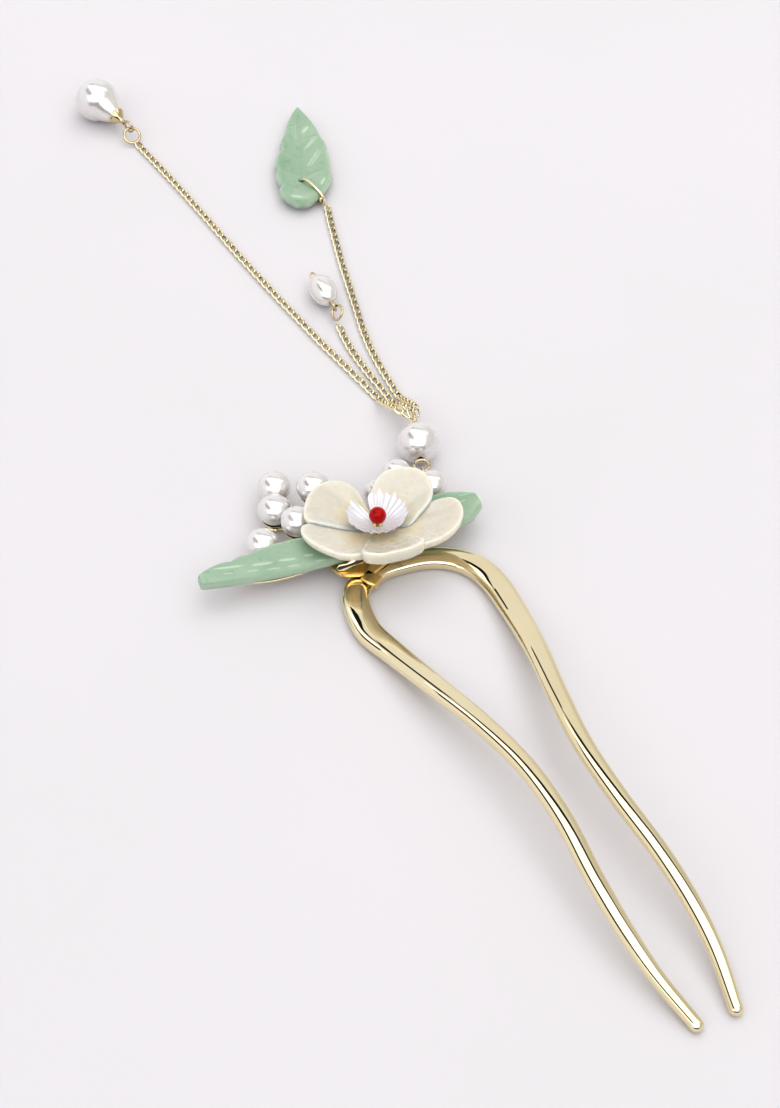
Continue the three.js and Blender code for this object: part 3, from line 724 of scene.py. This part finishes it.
def dash(x, y, start, end, width):
    """How deep (x, y) lies in a carved dash, 0 to 1."""
    length = hypot(end[0] - start[0], end[1] - start[1])
    ux, uy = (end[0] - start[0]) / length, (end[1] - start[1]) / length
    dx, dy = x - (start[0] + end[0]) / 2, y - (start[1] + end[1]) / 2
    reach = (2 * (dx * ux + dy * uy) / length) ** 4 + (2 * (dy * ux - dx * uy) / width) ** 2
    return (1 - reach) ** 0.5 if reach < 1 else 0


def paint(piece, name, values):
    """Keeps a number for each point of a piece, for its material."""
    layer = piece.data.attributes.new(name, "FLOAT", "POINT")
    layer.data.foreach_set("value", values)


def make_leaf(node, leaf, placing, body="root"):
    part, pale = leaf
    piece = make(node + "_glass", moved(part, placing), GREEN_GLASS, node, body, sharp=50)
    paint(piece, "pale", pale)
    return piece


def carving(highlight_lines, depth, vein_highlight_strength, grooves=()):
    """How deep a leaf is cut at a point, and how much painted highlight its carved lines get there."""
    def carve(x, y):
        pale = max(dash(x, y, *line) for line in highlight_lines)
        groove = max((dash(x, y, *line) for line in grooves), default=0)
        return max(depth * pale, GROOVE_DEPTH * groove), vein_highlight_strength * pale

    return carve


# edges of the charm from its base to its tip: (x, half width, bulge of the lobe that starts there)
CHARM_FAR = [
    (CHARM_START, 0.9, 1.9), (5.4, 3.9, 0.85), (11.2, 4.75, 1.1), (17.4, 3.6, 0.85), (23.1, 2.7, 0.8),
    (CHARM_END, 0.1, 0),
]
CHARM_NEAR = [
    (CHARM_START, 0.9, 2.2), (10.8, 5.85, 0.4), (17.2, 5.6, 0.5), (22, 4.4, 0.8), (CHARM_END, 0.1, 0),
]
# carved lines with a painted highlight in them, and the plain grooves between the lobes
CHARM_HIGHLIGHT_LINES = [
    ((22.3, -0.8), (24.6, -2.1), 0.7), ((16.2, -0.9), (20.8, -3.1), 0.3), ((16.6, -1.5), (20.9, -3.7), 0.25),
    ((10.1, -1.2), (16.6, -4.0), 0.32), ((10.3, -1.9), (16, -4.4), 0.25), ((4.4, -3.9), (7, -4.9), 0.5),
    ((0.9, 2.3), (0.2, -0.2), 0.6),
]
CHARM_GROOVES = [
    ((3, 0.5), (5.4, 4.2), 1.1), ((7.5, 0.4), (11.2, 5.1), 1.1), ((13, 0.4), (17.4, 3.9), 1.1),
    ((18, 0.3), (23.1, 3), 1), ((7, -1), (10.8, -6), 1), ((20, -0.6), (22, -4.5), 0.9),
    ((5, 0), (29, 0), 1.2),
]
GROOVE_DEPTH = 0.16
# lowest and highest run of the wire through the charm, and half section of its crimp
BAIL_LOW = 0.42
BAIL_HIGH = 4.25
CRIMP = [(0, -0.6), (0.62, -0.55), (0.7, -0.4), (0.7, 0.4), (0.62, 0.55), (0, 0.6)]


def make_charm():
    placing = leaf_placing(**CHARM)
    carve = carving(CHARM_HIGHLIGHT_LINES, 0.14, 0.75, CHARM_GROOVES)
    leaf = carved_leaf(CHARM_START, CHARM_END, (CHARM_FAR, CHARM_NEAR), LEAF_THICK, carve)
    charm = make_leaf("leaf_charm", leaf, placing, "leaf_pendant")
    drill = lathe([(0, -3), (CHARM_HOLE_R, -3), (CHARM_HOLE_R, 3), (0, 3)], 32)
    drill = moved(drill, placing @ Matrix.Translation((CHARM_HOLE, 0, 0)))
    drill = make("charm_drill", drill, GREEN_GLASS, body="leaf_pendant")
    cut = charm.modifiers.new("hole", "BOOLEAN")
    cut.object = drill
    cut.operation = "DIFFERENCE"
    bpy.context.view_layer.objects.active = charm
    with bpy.context.temp_override(object=charm, active_object=charm):
        bpy.ops.object.modifier_apply(modifier=cut.name)
    bpy.data.objects.remove(drill)
    return [charm, make_bail(placing @ vec(CHARM_HOLE, 0, 0))]


def make_bail(start):
    """A loop of wire from the hole of the charm to the end of its chain, with a crimp."""
    along = Vector(LEAF_CHAIN[-1]) - start
    along.z = 0
    reach = along.length - CHAIN_D / 2 - 0.3
    along.normalize()
    outline = [(0, 1.3), (0, 3), (0.8, BAIL_HIGH), (3.4, 4.15), (reach - 0.5, 2.9), (reach, 1.8)]
    outline += [(reach - 0.5, 0.75), (3.2, BAIL_LOW), (0.8, BAIL_LOW)]
    loop = [vec(start.x + along.x * s, start.y + along.y * s, z) for s, z in outline]
    bail = tube(closed_curve(loop, 96), WIRE, closed=True)
    crimp = aimed(lathe(CRIMP, 24), along, vec(start.x, start.y, 2) + along * (reach - 0.9))
    return make("charm_wire_bail", merge(bail, crimp), GOLD_WIRE, "charm_bail", "leaf_pendant")


def closed_curve(points, count):
    """Points on a smooth closed curve through a few points."""
    size = len(points)
    wrapped = [tuple(point) for point in points] * 3
    shares = [(size + size * i / count) / (3 * size - 1) for i in range(count)]
    return [Vector(spline(wrapped, share)) for share in shares]


make_chain("long_chain", LONG_CHAIN, -1.1, 1, make_drop())
make_chain("short_chain", SHORT_CHAIN, -0.3, 2, make_rice())
make_chain("leaf_chain", LEAF_CHAIN, 0.6, 3, make_charm())


# ---- big pearl, its eye pin and the ring ----
def make_pearl_link():
    ball = aimed(drilled_pearl(PEARL_R, PEARL_R, PEARL_BORE, 3.5, 56, 80), LINK, PEARL_MIDDLE)
    make("big_round_pearl", ball, PEARL, "big_pearl", "pearl_link")
    inward = LINK * (EYE_R - 0.1)
    stem = tube([NEAR_EYE + inward, PEARL_MIDDLE, FAR_EYE - inward], WIRE)
    near = wire_ring(NEAR_EYE, LINK_SIDE.cross(LINK), EYE_R, WIRE)
    far = wire_ring(FAR_EYE, LINK_SIDE, EYE_R, WIRE)
    make("pearl_pin_wire", merge(near, stem, far), SHADED_RING_GOLD, "pearl_eye_pin", "pearl_link")
    ring = wire_ring(middle_of("tassel_ring"), LINK_SIDE, RING_R, WIRE, slit=0.5)
    make("tassel_jump_ring", ring, SHADED_RING_GOLD, "tassel_ring", "tassel_ring")


make_pearl_link()


# ---- fork ----
def fork_part():
    stations = [(-x, *rest) for x, *rest in reversed(PRONG)] + ARCH + PRONG

    def ring(share, scale, push):
        x, y, z, width, thick, square = spline(stations, share)
        before = Vector(spline(stations, max(0, share - 1e-4))[:3])
        after = Vector(spline(stations, min(1, share + 1e-4))[:3])
        tangent = (after - before).normalized()
        side = UP.cross(tangent).normalized()
        up = tangent.cross(side)
        middle = vec(x, y, z) + tangent * push
        points = []
        for j in range(FORK_SIDES):
            a = TAU * j / FORK_SIDES
            u = bulged(cos(a), 2 / square) * width / 2
            v = bulged(sin(a), 2 / square) * thick / 2
            points.append(middle + side * u * scale + up * v * scale)
        return points

    rounds = [pi / 2 * k / TIP_STEPS for k in range(1, TIP_STEPS)]
    rings = [ring(0, sin(a), -TIP_ROUND * cos(a)) for a in rounds]
    rings += [ring(i / FORK_STEPS, 1, 0) for i in range(FORK_STEPS + 1)]
    rings += [ring(1, sin(a), TIP_ROUND * cos(a)) for a in reversed(rounds)]
    return loft(rings)


make("hair_fork_body", fork_part(), GOLD, "hair_fork")

# ---- plate and branch under the flower ----
FLOWER_AT = middle_of("red_bead")
PLATE_Z = (2.9, 3.6)
PLATE_FRONT = [(-12.4, 0.4), (-7.5, -1.7), (-1.7, 0.6)]
HOOK_OUTLINE = [
    (-2.7, 0.2), (-2.5, -0.5), (-1.6, -0.75), (0.5, -0.55), (2.2, -0.75), (2.8, -0.2), (2.5, 0.55),
    (1.2, 0.8), (-0.6, 0.35), (-2, 0.65),
]
HOOK_AT = (-10.5, 1.1, 5.1)
HOOK_FACING = vec(-0.38, -0.77, 0.52).normalized()
HOOK_ALONG = vec(5.4, 0.8, 0.3)
BRANCH_Z = (0.1, 0.8)
ARM = 1.5  # width of the branch's arms, and radius of its pads


def box_part(size, turn, place, bevel=0.15):
    """A small block with rounded upright edges."""
    half_x, half_y, half_z = size[0] / 2, size[1] / 2, size[2] / 2
    outline = []
    for k, (right, far) in enumerate(((1, 1), (-1, 1), (-1, -1), (1, -1))):
        for i in range(5):
            a = pi / 2 * (k + i / 4)
            x = right * (half_x - bevel) + bevel * cos(a)
            outline.append((x, far * (half_y - bevel) + bevel * sin(a)))
    block = rounded_slab(outline, -half_z, half_z, min(bevel, half_z * 0.9))
    return moved(block, Matrix.Translation(place) @ turned(turn, "Z"))


def make_plate():
    """The plate with a round back, and the lug and tab that hook it on the arch."""
    round_back = [radians(-4 + 210 * i / 72) for i in range(73)]
    outline = [(-4.6 + 8.8 * cos(a), 3.4 + 7 * sin(a)) for a in round_back]
    plate = rounded_slab(outline + PLATE_FRONT, *PLATE_Z, 0.12)
    lug = box_part((2.2, 0.8, 1.4), 32, vec(-7.3, -3.4, 2.7))
    tab = box_part((2.6, 3.2, 0.7), 32, vec(-7.93, -2.38, 3.25))
    make("ornament_base_plate", merge(plate, lug, tab), SHADED_PLATE_GOLD, "ornament_plate")


def make_leaf_hook():
    """A small polished hook at the root of the left leaf."""
    along = (HOOK_ALONG - HOOK_FACING * HOOK_ALONG.dot(HOOK_FACING)).normalized()
    turn = Matrix((along, HOOK_FACING.cross(along), HOOK_FACING)).transposed().to_4x4()
    hook = moved(rounded_slab(HOOK_OUTLINE, -0.35, 0.35, 0.15), Matrix.Translation(HOOK_AT) @ turn)
    make("leaf_hook", hook, GOLD)


def bar(start, end, width, low, high):
    along = vec(end.x - start.x, end.y - start.y, 0)
    middle = vec((start.x + end.x) / 2, (start.y + end.y) / 2, (low + high) / 2)
    turn = degrees(atan2(along.y, along.x))
    return box_part((along.length, width, high - low), turn, middle)


def pad(place, radius, sides):
    low, high = BRANCH_Z
    edge = [(radius - 0.1, low), (radius, low + 0.1), (radius, high - 0.1), (radius - 0.1, high)]
    return put(lathe([(0, low)] + edge + [(0, high)], sides), vec(place.x, place.y, 0))


PEARLS = [str(i) for i in range(1, 9)]


def make_branch():
    """The frame on the table side: a hub, an arm and a pad for each pearl, and the eye of the tassel."""
    parts = [pad(FLOWER_AT, 2.2, 48)]
    for name in PEARLS:
        middle = middle_of("button_pearl_" + name)
        parts += [pad(middle, ARM, 32), bar(FLOWER_AT, middle, ARM, *BRANCH_Z)]
    bridge = JOINTS["ring_swing"]
    flat = heading(71, 0)
    riser = bridge - flat * 2.55
    parts.append(bar(middle, riser, ARM, *BRANCH_Z))
    parts.append(tube([vec(riser.x, riser.y, BRANCH_Z[0] + 0.5), riser], 0.5))
    parts.append(wire_ring(bridge - flat * 1.25, UP, 1.25, 0.35))
    parts.append(bar(riser, bridge - flat * 2.2, 0.9, bridge.z - 0.3, bridge.z + 0.3))
    make("pearl_branch_frame", merge(*parts), GOLD, "pearl_branch")


make_plate()
make_leaf_hook()
make_branch()


# ---- button pearls in their cups ----
def button_pearl_part(radius, half, seed):
    """A cultured button pearl: flattened, with faint growth rings and a slight unevenness."""
    rand = random.Random(seed)
    tilt, phase = rand.uniform(0, TAU), rand.uniform(0, TAU)
    ball = lathe(arc(radius, half, -90, 90, 44), 64)
    points = []
    for point in ball[0]:
        angle = atan2(point.y, point.x)
        rise = point.z / half
        rings = 0.006 * sin(14 * rise + phase)
        uneven = 0.018 * cos(angle - tilt) * (1 - rise * rise) + 0.01 * cos(3 * angle + phase)
        grow = 1 + (rings + uneven) * (1 - abs(rise))
        points.append(vec(point.x * grow, point.y * grow, point.z))
    return points, ball[1]


def pearl_cup_part(radius, half, height):
    """A cup on a peg, with a rolled rim."""
    rim = 0.72 * radius
    foot = half + 1.1 - height
    profile = [(0, foot), (0.5, foot), (0.55, foot + 0.1), (0.55, -0.52), (0.62 * rim, -0.3), (rim, 0.15)]
    profile += [(rim + 0.15, 0.4), (rim + 0.12, 0.54), (rim + 0.02, 0.5), (0.55 * rim, -0.1), (0, -0.25)]
    return lathe([(r, z - half) for r, z in profile], 48)


def make_button_pearls():
    for i, name in enumerate(PEARLS):
        node = "button_pearl_" + name
        middle = middle_of(node)
        low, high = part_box(node)
        radius, half = (high.x - low.x) / 2 / MM, (high.z - low.z) / 2 / MM
        pearl = put(button_pearl_part(radius, half, i), middle)
        make("button_pearl_shell_" + name, pearl, PEARL, node)
        cup = put(pearl_cup_part(radius, half, middle.z), middle)
        make("pearl_cup_metal_" + name, cup, GOLD, "pearl_cup_" + name)


make_button_pearls()

# ---- side leaves on their gold tongues ----
# each side: its place, length, far and near edges, cuts with a painted highlight, and tongue (start, end,
# width)
SIDE_LEAVES = {
    "left": {
        "placing": {"root": vec(-8.5, 4.82, 5.42), "turn": 171.7, "roll": -11},
        "length": 29.1,
        "edges": (
            [(0, 2.5, 1.0), (29.1, 1.7, 0)],
            [(0, 2.3, 1.5), (18.9, 2.8, 0.4), (22.4, 2.1, 0.8), (29.1, 0.4, 0)],
        ),
        "pale": [
            ((20.4, -0.2), (26.2, -0.9), 0.5), ((15.1, 0.55), (19.2, 0.1), 0.6),
            ((10.7, 0.85), (14.2, 0.4), 0.55), ((7.6, 0.85), (9.6, 0.65), 0.4),
            ((22.8, 0.85), (24.5, 0.6), 0.25), ((18.1, 1.4), (20.3, 1.15), 0.28),
            ((14.1, 2), (16.7, 1.7), 0.28), ((10.5, 2.25), (13, 2), 0.25), ((5.6, 2.4), (7.7, 2.25), 0.25),
        ],
        "vein_highlight_strength": 0.7,
        "rows": 240,
        "tongue": (7.2, 25, 6.4),
    },
    "right": {
        "placing": {"root": vec(2.6, 5.4, 5.35), "turn": 0, "roll": 6},
        "length": 15.2,
        "edges": (
            [(0, 2, 1.5), (11.5, 3.2, 0.3), (15.2, 1, 0)],
            [(0, 2, 1.2), (12.6, 3.9, 0), (15.2, 1.8, 0)],
        ),
        "pale": [
            ((5.5, 0.2), (8.5, 0.2), 0.3), ((10, 0.1), (12.8, 0), 0.3), ((11.8, 1.4), (13.9, 1.2), 0.25),
        ],
        "vein_highlight_strength": 0.5,
        "rows": 160,
        "tongue": (5.2, 13.4, 6.6),
    },
}
# their pale cuts carry a painted highlight
SIDE_CUT = 0.12  # depth of their pale cuts


def tongue_part(start, end, width, placing):
    """The gold tongue that a leaf lies on, with a rolled edge."""
    outline = []
    count = 24
    for side in (-1, 1):
        for i in range(count + 1):
            t = i / count if side < 0 else 1 - i / count
            half = (1 - t) ** 2 * 0.3 + 2 * t * (1 - t) * 0.62 + t * t * 0.08
            outline.append((start + (end - start) * t, side * half * width))
    drop = LEAF_THICK / 2 + 0.55
    return moved(rounded_slab(outline, -drop - 0.25, -drop + 0.25, 0.2), placing)


def make_side_leaves():
    for side, data in SIDE_LEAVES.items():
        placing = leaf_placing(**data["placing"])
        carve = carving(data["pale"], SIDE_CUT, data["vein_highlight_strength"])
        leaf = carved_leaf(0, data["length"], data["edges"], LEAF_THICK, carve, data["rows"])
        make_leaf(side + "_leaf", leaf, placing)
        make(side + "_leaf_tongue", tongue_part(*data["tongue"], placing), GOLD, side + "_leaf_backing")


make_side_leaves()

# ---- flower, its cup, bead and pin ----
FLOWER_MIDDLE = vec(FLOWER_AT.x, FLOWER_AT.y, 7.7)
FLOWER_TILT = Matrix.Translation(FLOWER_MIDDLE) @ turned(-4, "X")
CUP_R = 5.9
CUP_HOLE_R = 1.0
CUP_GAP_AT = radians(98)
CUP_FLUTES = 24
BEAD_R = 1.6
BEAD_BORE = 0.5
PIN_R = 0.33
# petals: outline (direction in degrees, distance), steepness, thickness and lift at its first and last edge
PETALS = [
    ([  # right
        (282, 3), (285, 8), (290, 10.8), (298, 12), (307, 13.3), (318, 14.8), (329, 15.6), (338, 15.8),
        (347, 15.5), (354, 14.5), (359, 12.3), (2, 9), (0, 4), (325, 2),
    ], 0.031, 1.7, 0, -0.5),
    ([  # far right
        (322, 2.8), (327, 5.8), (346, 7.9), (356, 10.1), (3, 11.6), (12, 13), (22, 14.2), (32, 14.7),
        (42, 14.4), (51, 13.7), (59, 12.7), (66, 10.8), (73, 8.2), (78, 5), (30, 2),
    ], 0.031, 1.4, 0.5, 0),
    ([  # far left
        (85, 2.8), (85, 6.2), (88, 9.8), (95, 12.1), (104, 13.5), (115, 14.2), (127, 14.2), (137, 13.9),
        (148, 13.6), (157, 13), (160, 11), (163, 8), (172, 5), (190, 3),
    ], 0.03, 1.4, 0, 0.35),
    ([  # left
        (150, 3), (152, 8), (157, 11.8), (162, 13.8), (169, 14.4), (177, 14.1), (187, 13.3), (198, 12.3),
        (210, 11.5), (221, 10.6), (230, 9.3), (238, 7.1), (243, 4), (200, 2),
    ], 0.031, 1.7, -0.35, 0),
    ([  # front
        (222, 4), (226, 8), (230, 11), (236, 12.1), (246, 12), (262, 11.9), (276, 12.3), (285, 12.7),
        (291, 11.7), (296, 8), (298, 4), (262, 2),
    ], 0.056, 2.9, 0.2, 0.2),
]
# a petal's edge from the top down: (inset, drop), then (inset, share of the thickness)
PETAL_ROUND = 0.7
PETAL_LIP = [(PETAL_ROUND, 0), (0.4, 0.01), (0.2, 0.06), (0.07, 0.17), (0, 0.34)]
PETAL_FACET = [(0.02, 0.5), (0.1, 0.8), (0.3, 0.95), (PETAL_ROUND, 1)]


def petal_part(outline, steepness, thick, first_lift, last_lift):
    """One moulded petal: it rises from the middle, is a little cupped, and has a thick facet for an edge."""
    corners = [vec(r * cos(radians(a)), r * sin(radians(a)), 0) for a, r in outline]
    edge = closed_curve(corners, 132)
    middle = sum(edge, vec(0, 0, 0)) / len(edge)
    facing = atan2(middle.y, middle.x)
    spread = max(abs(remainder(atan2(p.y, p.x) - facing, TAU)) for p in edge if p.length > 7)

    def height(x, y):
        r = hypot(x, y)
        aside = remainder(atan2(y, x) - facing, TAU) / spread
        share = min(1, max(0, (aside + 1) / 2))
        lift = (first_lift + (last_lift - first_lift) * share) * smoothstep(2, 9, r)
        cup = 0.35 * aside * aside * smoothstep(4, 12, r)
        ridges = 0.09 * cos(aside * 9) * smoothstep(3, 9, r) * (1 - smoothstep(11, 14, r))
        return steepness * r ** 1.7 + lift + cup + ridges

    def ring(share, inset, drop):
        points = []
        for i, point in enumerate(edge):
            along = edge[(i + 1) % len(edge)] - edge[i - 1]
            inward = vec(-along.y, along.x, 0).normalized()
            place = middle.lerp(point + inward * inset, share)
            points.append(vec(place.x, place.y, height(place.x, place.y) - drop))
        return points

    levels = [0.06, 0.14, 0.23, 0.33, 0.43, 0.53, 0.63, 0.72, 0.8, 0.87, 0.93]
    rings = [ring(share, PETAL_ROUND, 0) for share in levels]
    rings += [ring(1, inset, drop) for inset, drop in PETAL_LIP]
    rings += [ring(1, inset, share * thick) for inset, share in PETAL_FACET]
    rings += [ring(share, PETAL_ROUND, thick) for share in reversed(levels)]
    top = middle + UP * height(middle.x, middle.y)
    points, faces = loft(rings, start=top, end=top - UP * thick)
    # painted edge glow for each point: none on the top, rising over the lip to full on the facet and
    # underside
    inner = len(levels) * len(edge)
    edge_glows = [0.0] * inner + [0.25] * len(edge) + [0.7] * len(edge)
    edge_glows += [1.0] * (len(points) - len(edge_glows))
    return moved((points, [face[::-1] for face in faces]), FLOWER_TILT), edge_glows


def cup_part():
    """A pressed cup of two fans of flutes, open at the back."""
    turns, levels = 300, 14

    def reach(a):
        away = abs((a - CUP_GAP_AT + pi) % TAU - pi)
        gap = 1 - 0.62 * exp(-((away / 0.2) ** 4))
        lobe = 1 - 0.07 * abs(sin(CUP_FLUTES / 4 * a))
        scallop = 1 - 0.05 * (1 - abs(cos(CUP_FLUTES / 2 * a)))
        return CUP_R * gap * lobe * scallop

    def point(a, share, thick):
        r = CUP_HOLE_R + (reach(a) - CUP_HOLE_R) * share
        rise = 0.6 + 3.3 * (r / CUP_R) ** 1.7
        flute = 0.16 * cos(CUP_FLUTES * a) * smoothstep(0.1, 0.6, share)
        return vec(r * cos(a), r * sin(a), rise + flute + thick)

    def ring(share, thick):
        return [point(TAU * j / turns, share, thick) for j in range(turns)]

    rings = [ring(i / levels, -0.3) for i in range(levels + 1)]
    rings += [ring(1 - i / levels, 0) for i in range(levels + 1)]
    return moved(loft(rings, closed=True), FLOWER_TILT)


def make_flower():
    milk = milk_glass_material(FLOWER_MIDDLE), "milk_glass"
    petals = [petal_part(*petal) for petal in PETALS]
    skin = merge(*[part for part, edge_glows in petals])
    flower = make("glass_flower_petals", skin, milk, "glass_flower", sharp=60)
    # stores the petals' painted edge glow for the milk glass
    paint(flower, "rim", [share for part, edge_glows in petals for share in edge_glows])
    make("fluted_flower_cup", cup_part(), SHELL_CUP, "flower_cup", sharp=60)
    bore = -degrees(acos(BEAD_BORE / BEAD_R))
    bead = lathe([(0, 0.1), (BEAD_BORE, 0.1)] + arc(BEAD_R, BEAD_R, bore, 90, 36), 56)
    make("red_glass_bead", put(bead, FLOWER_AT), RED_GLASS, "red_bead")
    pin = tube([vec(FLOWER_AT.x, FLOWER_AT.y, 0.4), FLOWER_AT - UP * 0.4], PIN_R)
    make("flower_pin_wire", pin, GOLD_WIRE, "flower_pin")


make_flower()


# ---- floor, world and light ----
TABLE_HALF = 3.0
WALL_SIDE = (0.9, -0.44, 0)  # towards the duller wall
WALLS = [(0.2, (1.0, 0.985, 1.0)), (0.6, (0.94, 0.93, 0.92)), (0.76, (0.66, 0.65, 0.61))]
# windows: the direction they face, half width and half height as tangents, softness of the edge, and light
LOW_GAP = (vec(-0.43, -0.86, 0.3), 0.8, 0.24, 0.04, (0.06, 0.06, 0.06))
NEAR_WINDOW = (vec(-0.24, -0.4, 0.883), 0.92, 0.68, 0.02, (2.3, 2.3, 2.33))
# straight-edged sheets overhead, in tangents from the zenith, each over the one before: edges, then light
SHEETS = [
    ([(1, 0, 0.95), (-1, 0, -0.4), (0, 1, 0.15), (0, -1, 1.1)], 0.01),
    ([(1, 0, 0.03), (-1, -1, 1.18), (0, 1, -0.05), (0, -1, 1.16)], 0.01),
    ([(-0.25, -1, 0.66), (1, 0, -0.25), (-1, 0, 1.05), (0, 1, -0.05)], 0.04),
    ([(1, 0, 0.09), (-1, 0, 0.2), (0, 1, -1.1), (0, -1, 1.7)], 0.03),
    ([(1, 0, 0.47), (-1, -1, 0.87), (0, 1, 0.15)], 2.0),
    ([(1, 0, 0.47), (-0.25, -1, 0.52), (0, 1, 0.15), (-1, 0, 1.3)], 2.0),
]
SHEET_SOFT = 0.04
KEY_AT = vec(0.55, 0.5, 0.9)
KEY_SIZE = (0.6, 0.5)
KEY_POWER = 2.0


def make_floor():
    mesh = bpy.data.meshes.new("table")
    corners = [(-1, -1), (1, -1), (1, 1), (-1, 1)]
    mesh.from_pydata([(x * TABLE_HALF, y * TABLE_HALF, 0) for x, y in corners], [], [(0, 1, 2, 3)])
    material, tree, shader = new_material("table_paper", Roughness=0.7, Specular_IOR_Level=0.15)
    paper = ramp(tree, noise(tree, 9, 3), [(0.3, (0.59, 0.572, 0.585)), (0.7, (0.605, 0.583, 0.6))])
    tree.links.new(paper, shader.inputs["Base Color"])
    mesh.materials.append(material)
    new_object("table", mesh)


def window(tree, direction, facing, wide, high, soft):
    """1 inside a rectangle of the sky about a direction, and 0 outside."""
    facing = facing.normalized()
    across = UP.cross(facing).normalized()
    ahead = maths(tree, "MAXIMUM", measure(tree, direction, facing), 0.001)
    shares = []
    for axis, size in ((across, wide), (facing.cross(across), high)):
        tangent = maths(tree, "DIVIDE", measure(tree, direction, axis), ahead)
        tangent = maths(tree, "ABSOLUTE", tangent)
        shares.append(between(tree, tangent, size, size + soft, 1.0, 0.0, interpolation_type="SMOOTHSTEP"))
    return maths(tree, "MULTIPLY", *shares)


def sheet(tree, sky, edges):
    """1 where a x + b y + c > 0 for each edge (a, b, c) on the plane of the ceiling, and 0 elsewhere."""
    inside = 1.0
    for edge in edges:
        reach = measure(tree, sky, edge)
        share = between(tree, reach, 0.0, SHEET_SOFT, 0.0, 1.0, interpolation_type="SMOOTHSTEP")
        inside = maths(tree, "MULTIPLY", share, inside)
    return inside


def make_world():
    """A light tent: pale walls, a dark gap low down, a bright window over the viewer, sheets overhead."""
    world = bpy.data.worlds.new("tent")
    bpy.context.scene.world = world
    world.use_nodes = True
    tree = world.node_tree
    direction = add(tree, "TexCoord").outputs["Generated"]
    lit = ramp(tree, between(tree, measure(tree, direction, WALL_SIDE), -1, 1, 0, 1), WALLS)
    for *shape, light in (LOW_GAP, NEAR_WINDOW):
        lit = mixed(tree, window(tree, direction, *shape), lit, light)
    rise = add(tree, "SeparateXYZ", [("Vector", direction)]).outputs["Z"]
    over = maths(tree, "DIVIDE", 1.0, maths(tree, "MAXIMUM", rise, 0.05))
    sky = add(tree, "VectorMath", [(0, direction), ("Scale", over)], operation="SCALE").outputs[0]
    for edges, light in SHEETS:
        lit = mixed(tree, sheet(tree, sky, edges), lit, (light, light, light))
    tree.links.new(lit, tree.nodes["Background"].inputs["Color"])


def make_key_light():
    """It only casts the soft shadows, and isn't reflected."""
    data = bpy.data.lights.new("key_softbox", "AREA")
    data.shape = "RECTANGLE"
    data.size, data.size_y = KEY_SIZE
    data.energy = KEY_POWER
    light = new_object("key_softbox", data)
    light.location = KEY_AT
    light.rotation_euler = (-KEY_AT).to_track_quat("-Z", "Y").to_euler()
    light.visible_glossy = False


make_floor()
make_world()
make_key_light()

view = bpy.context.scene.view_settings
view.view_transform = "Standard"
view.look = "None"
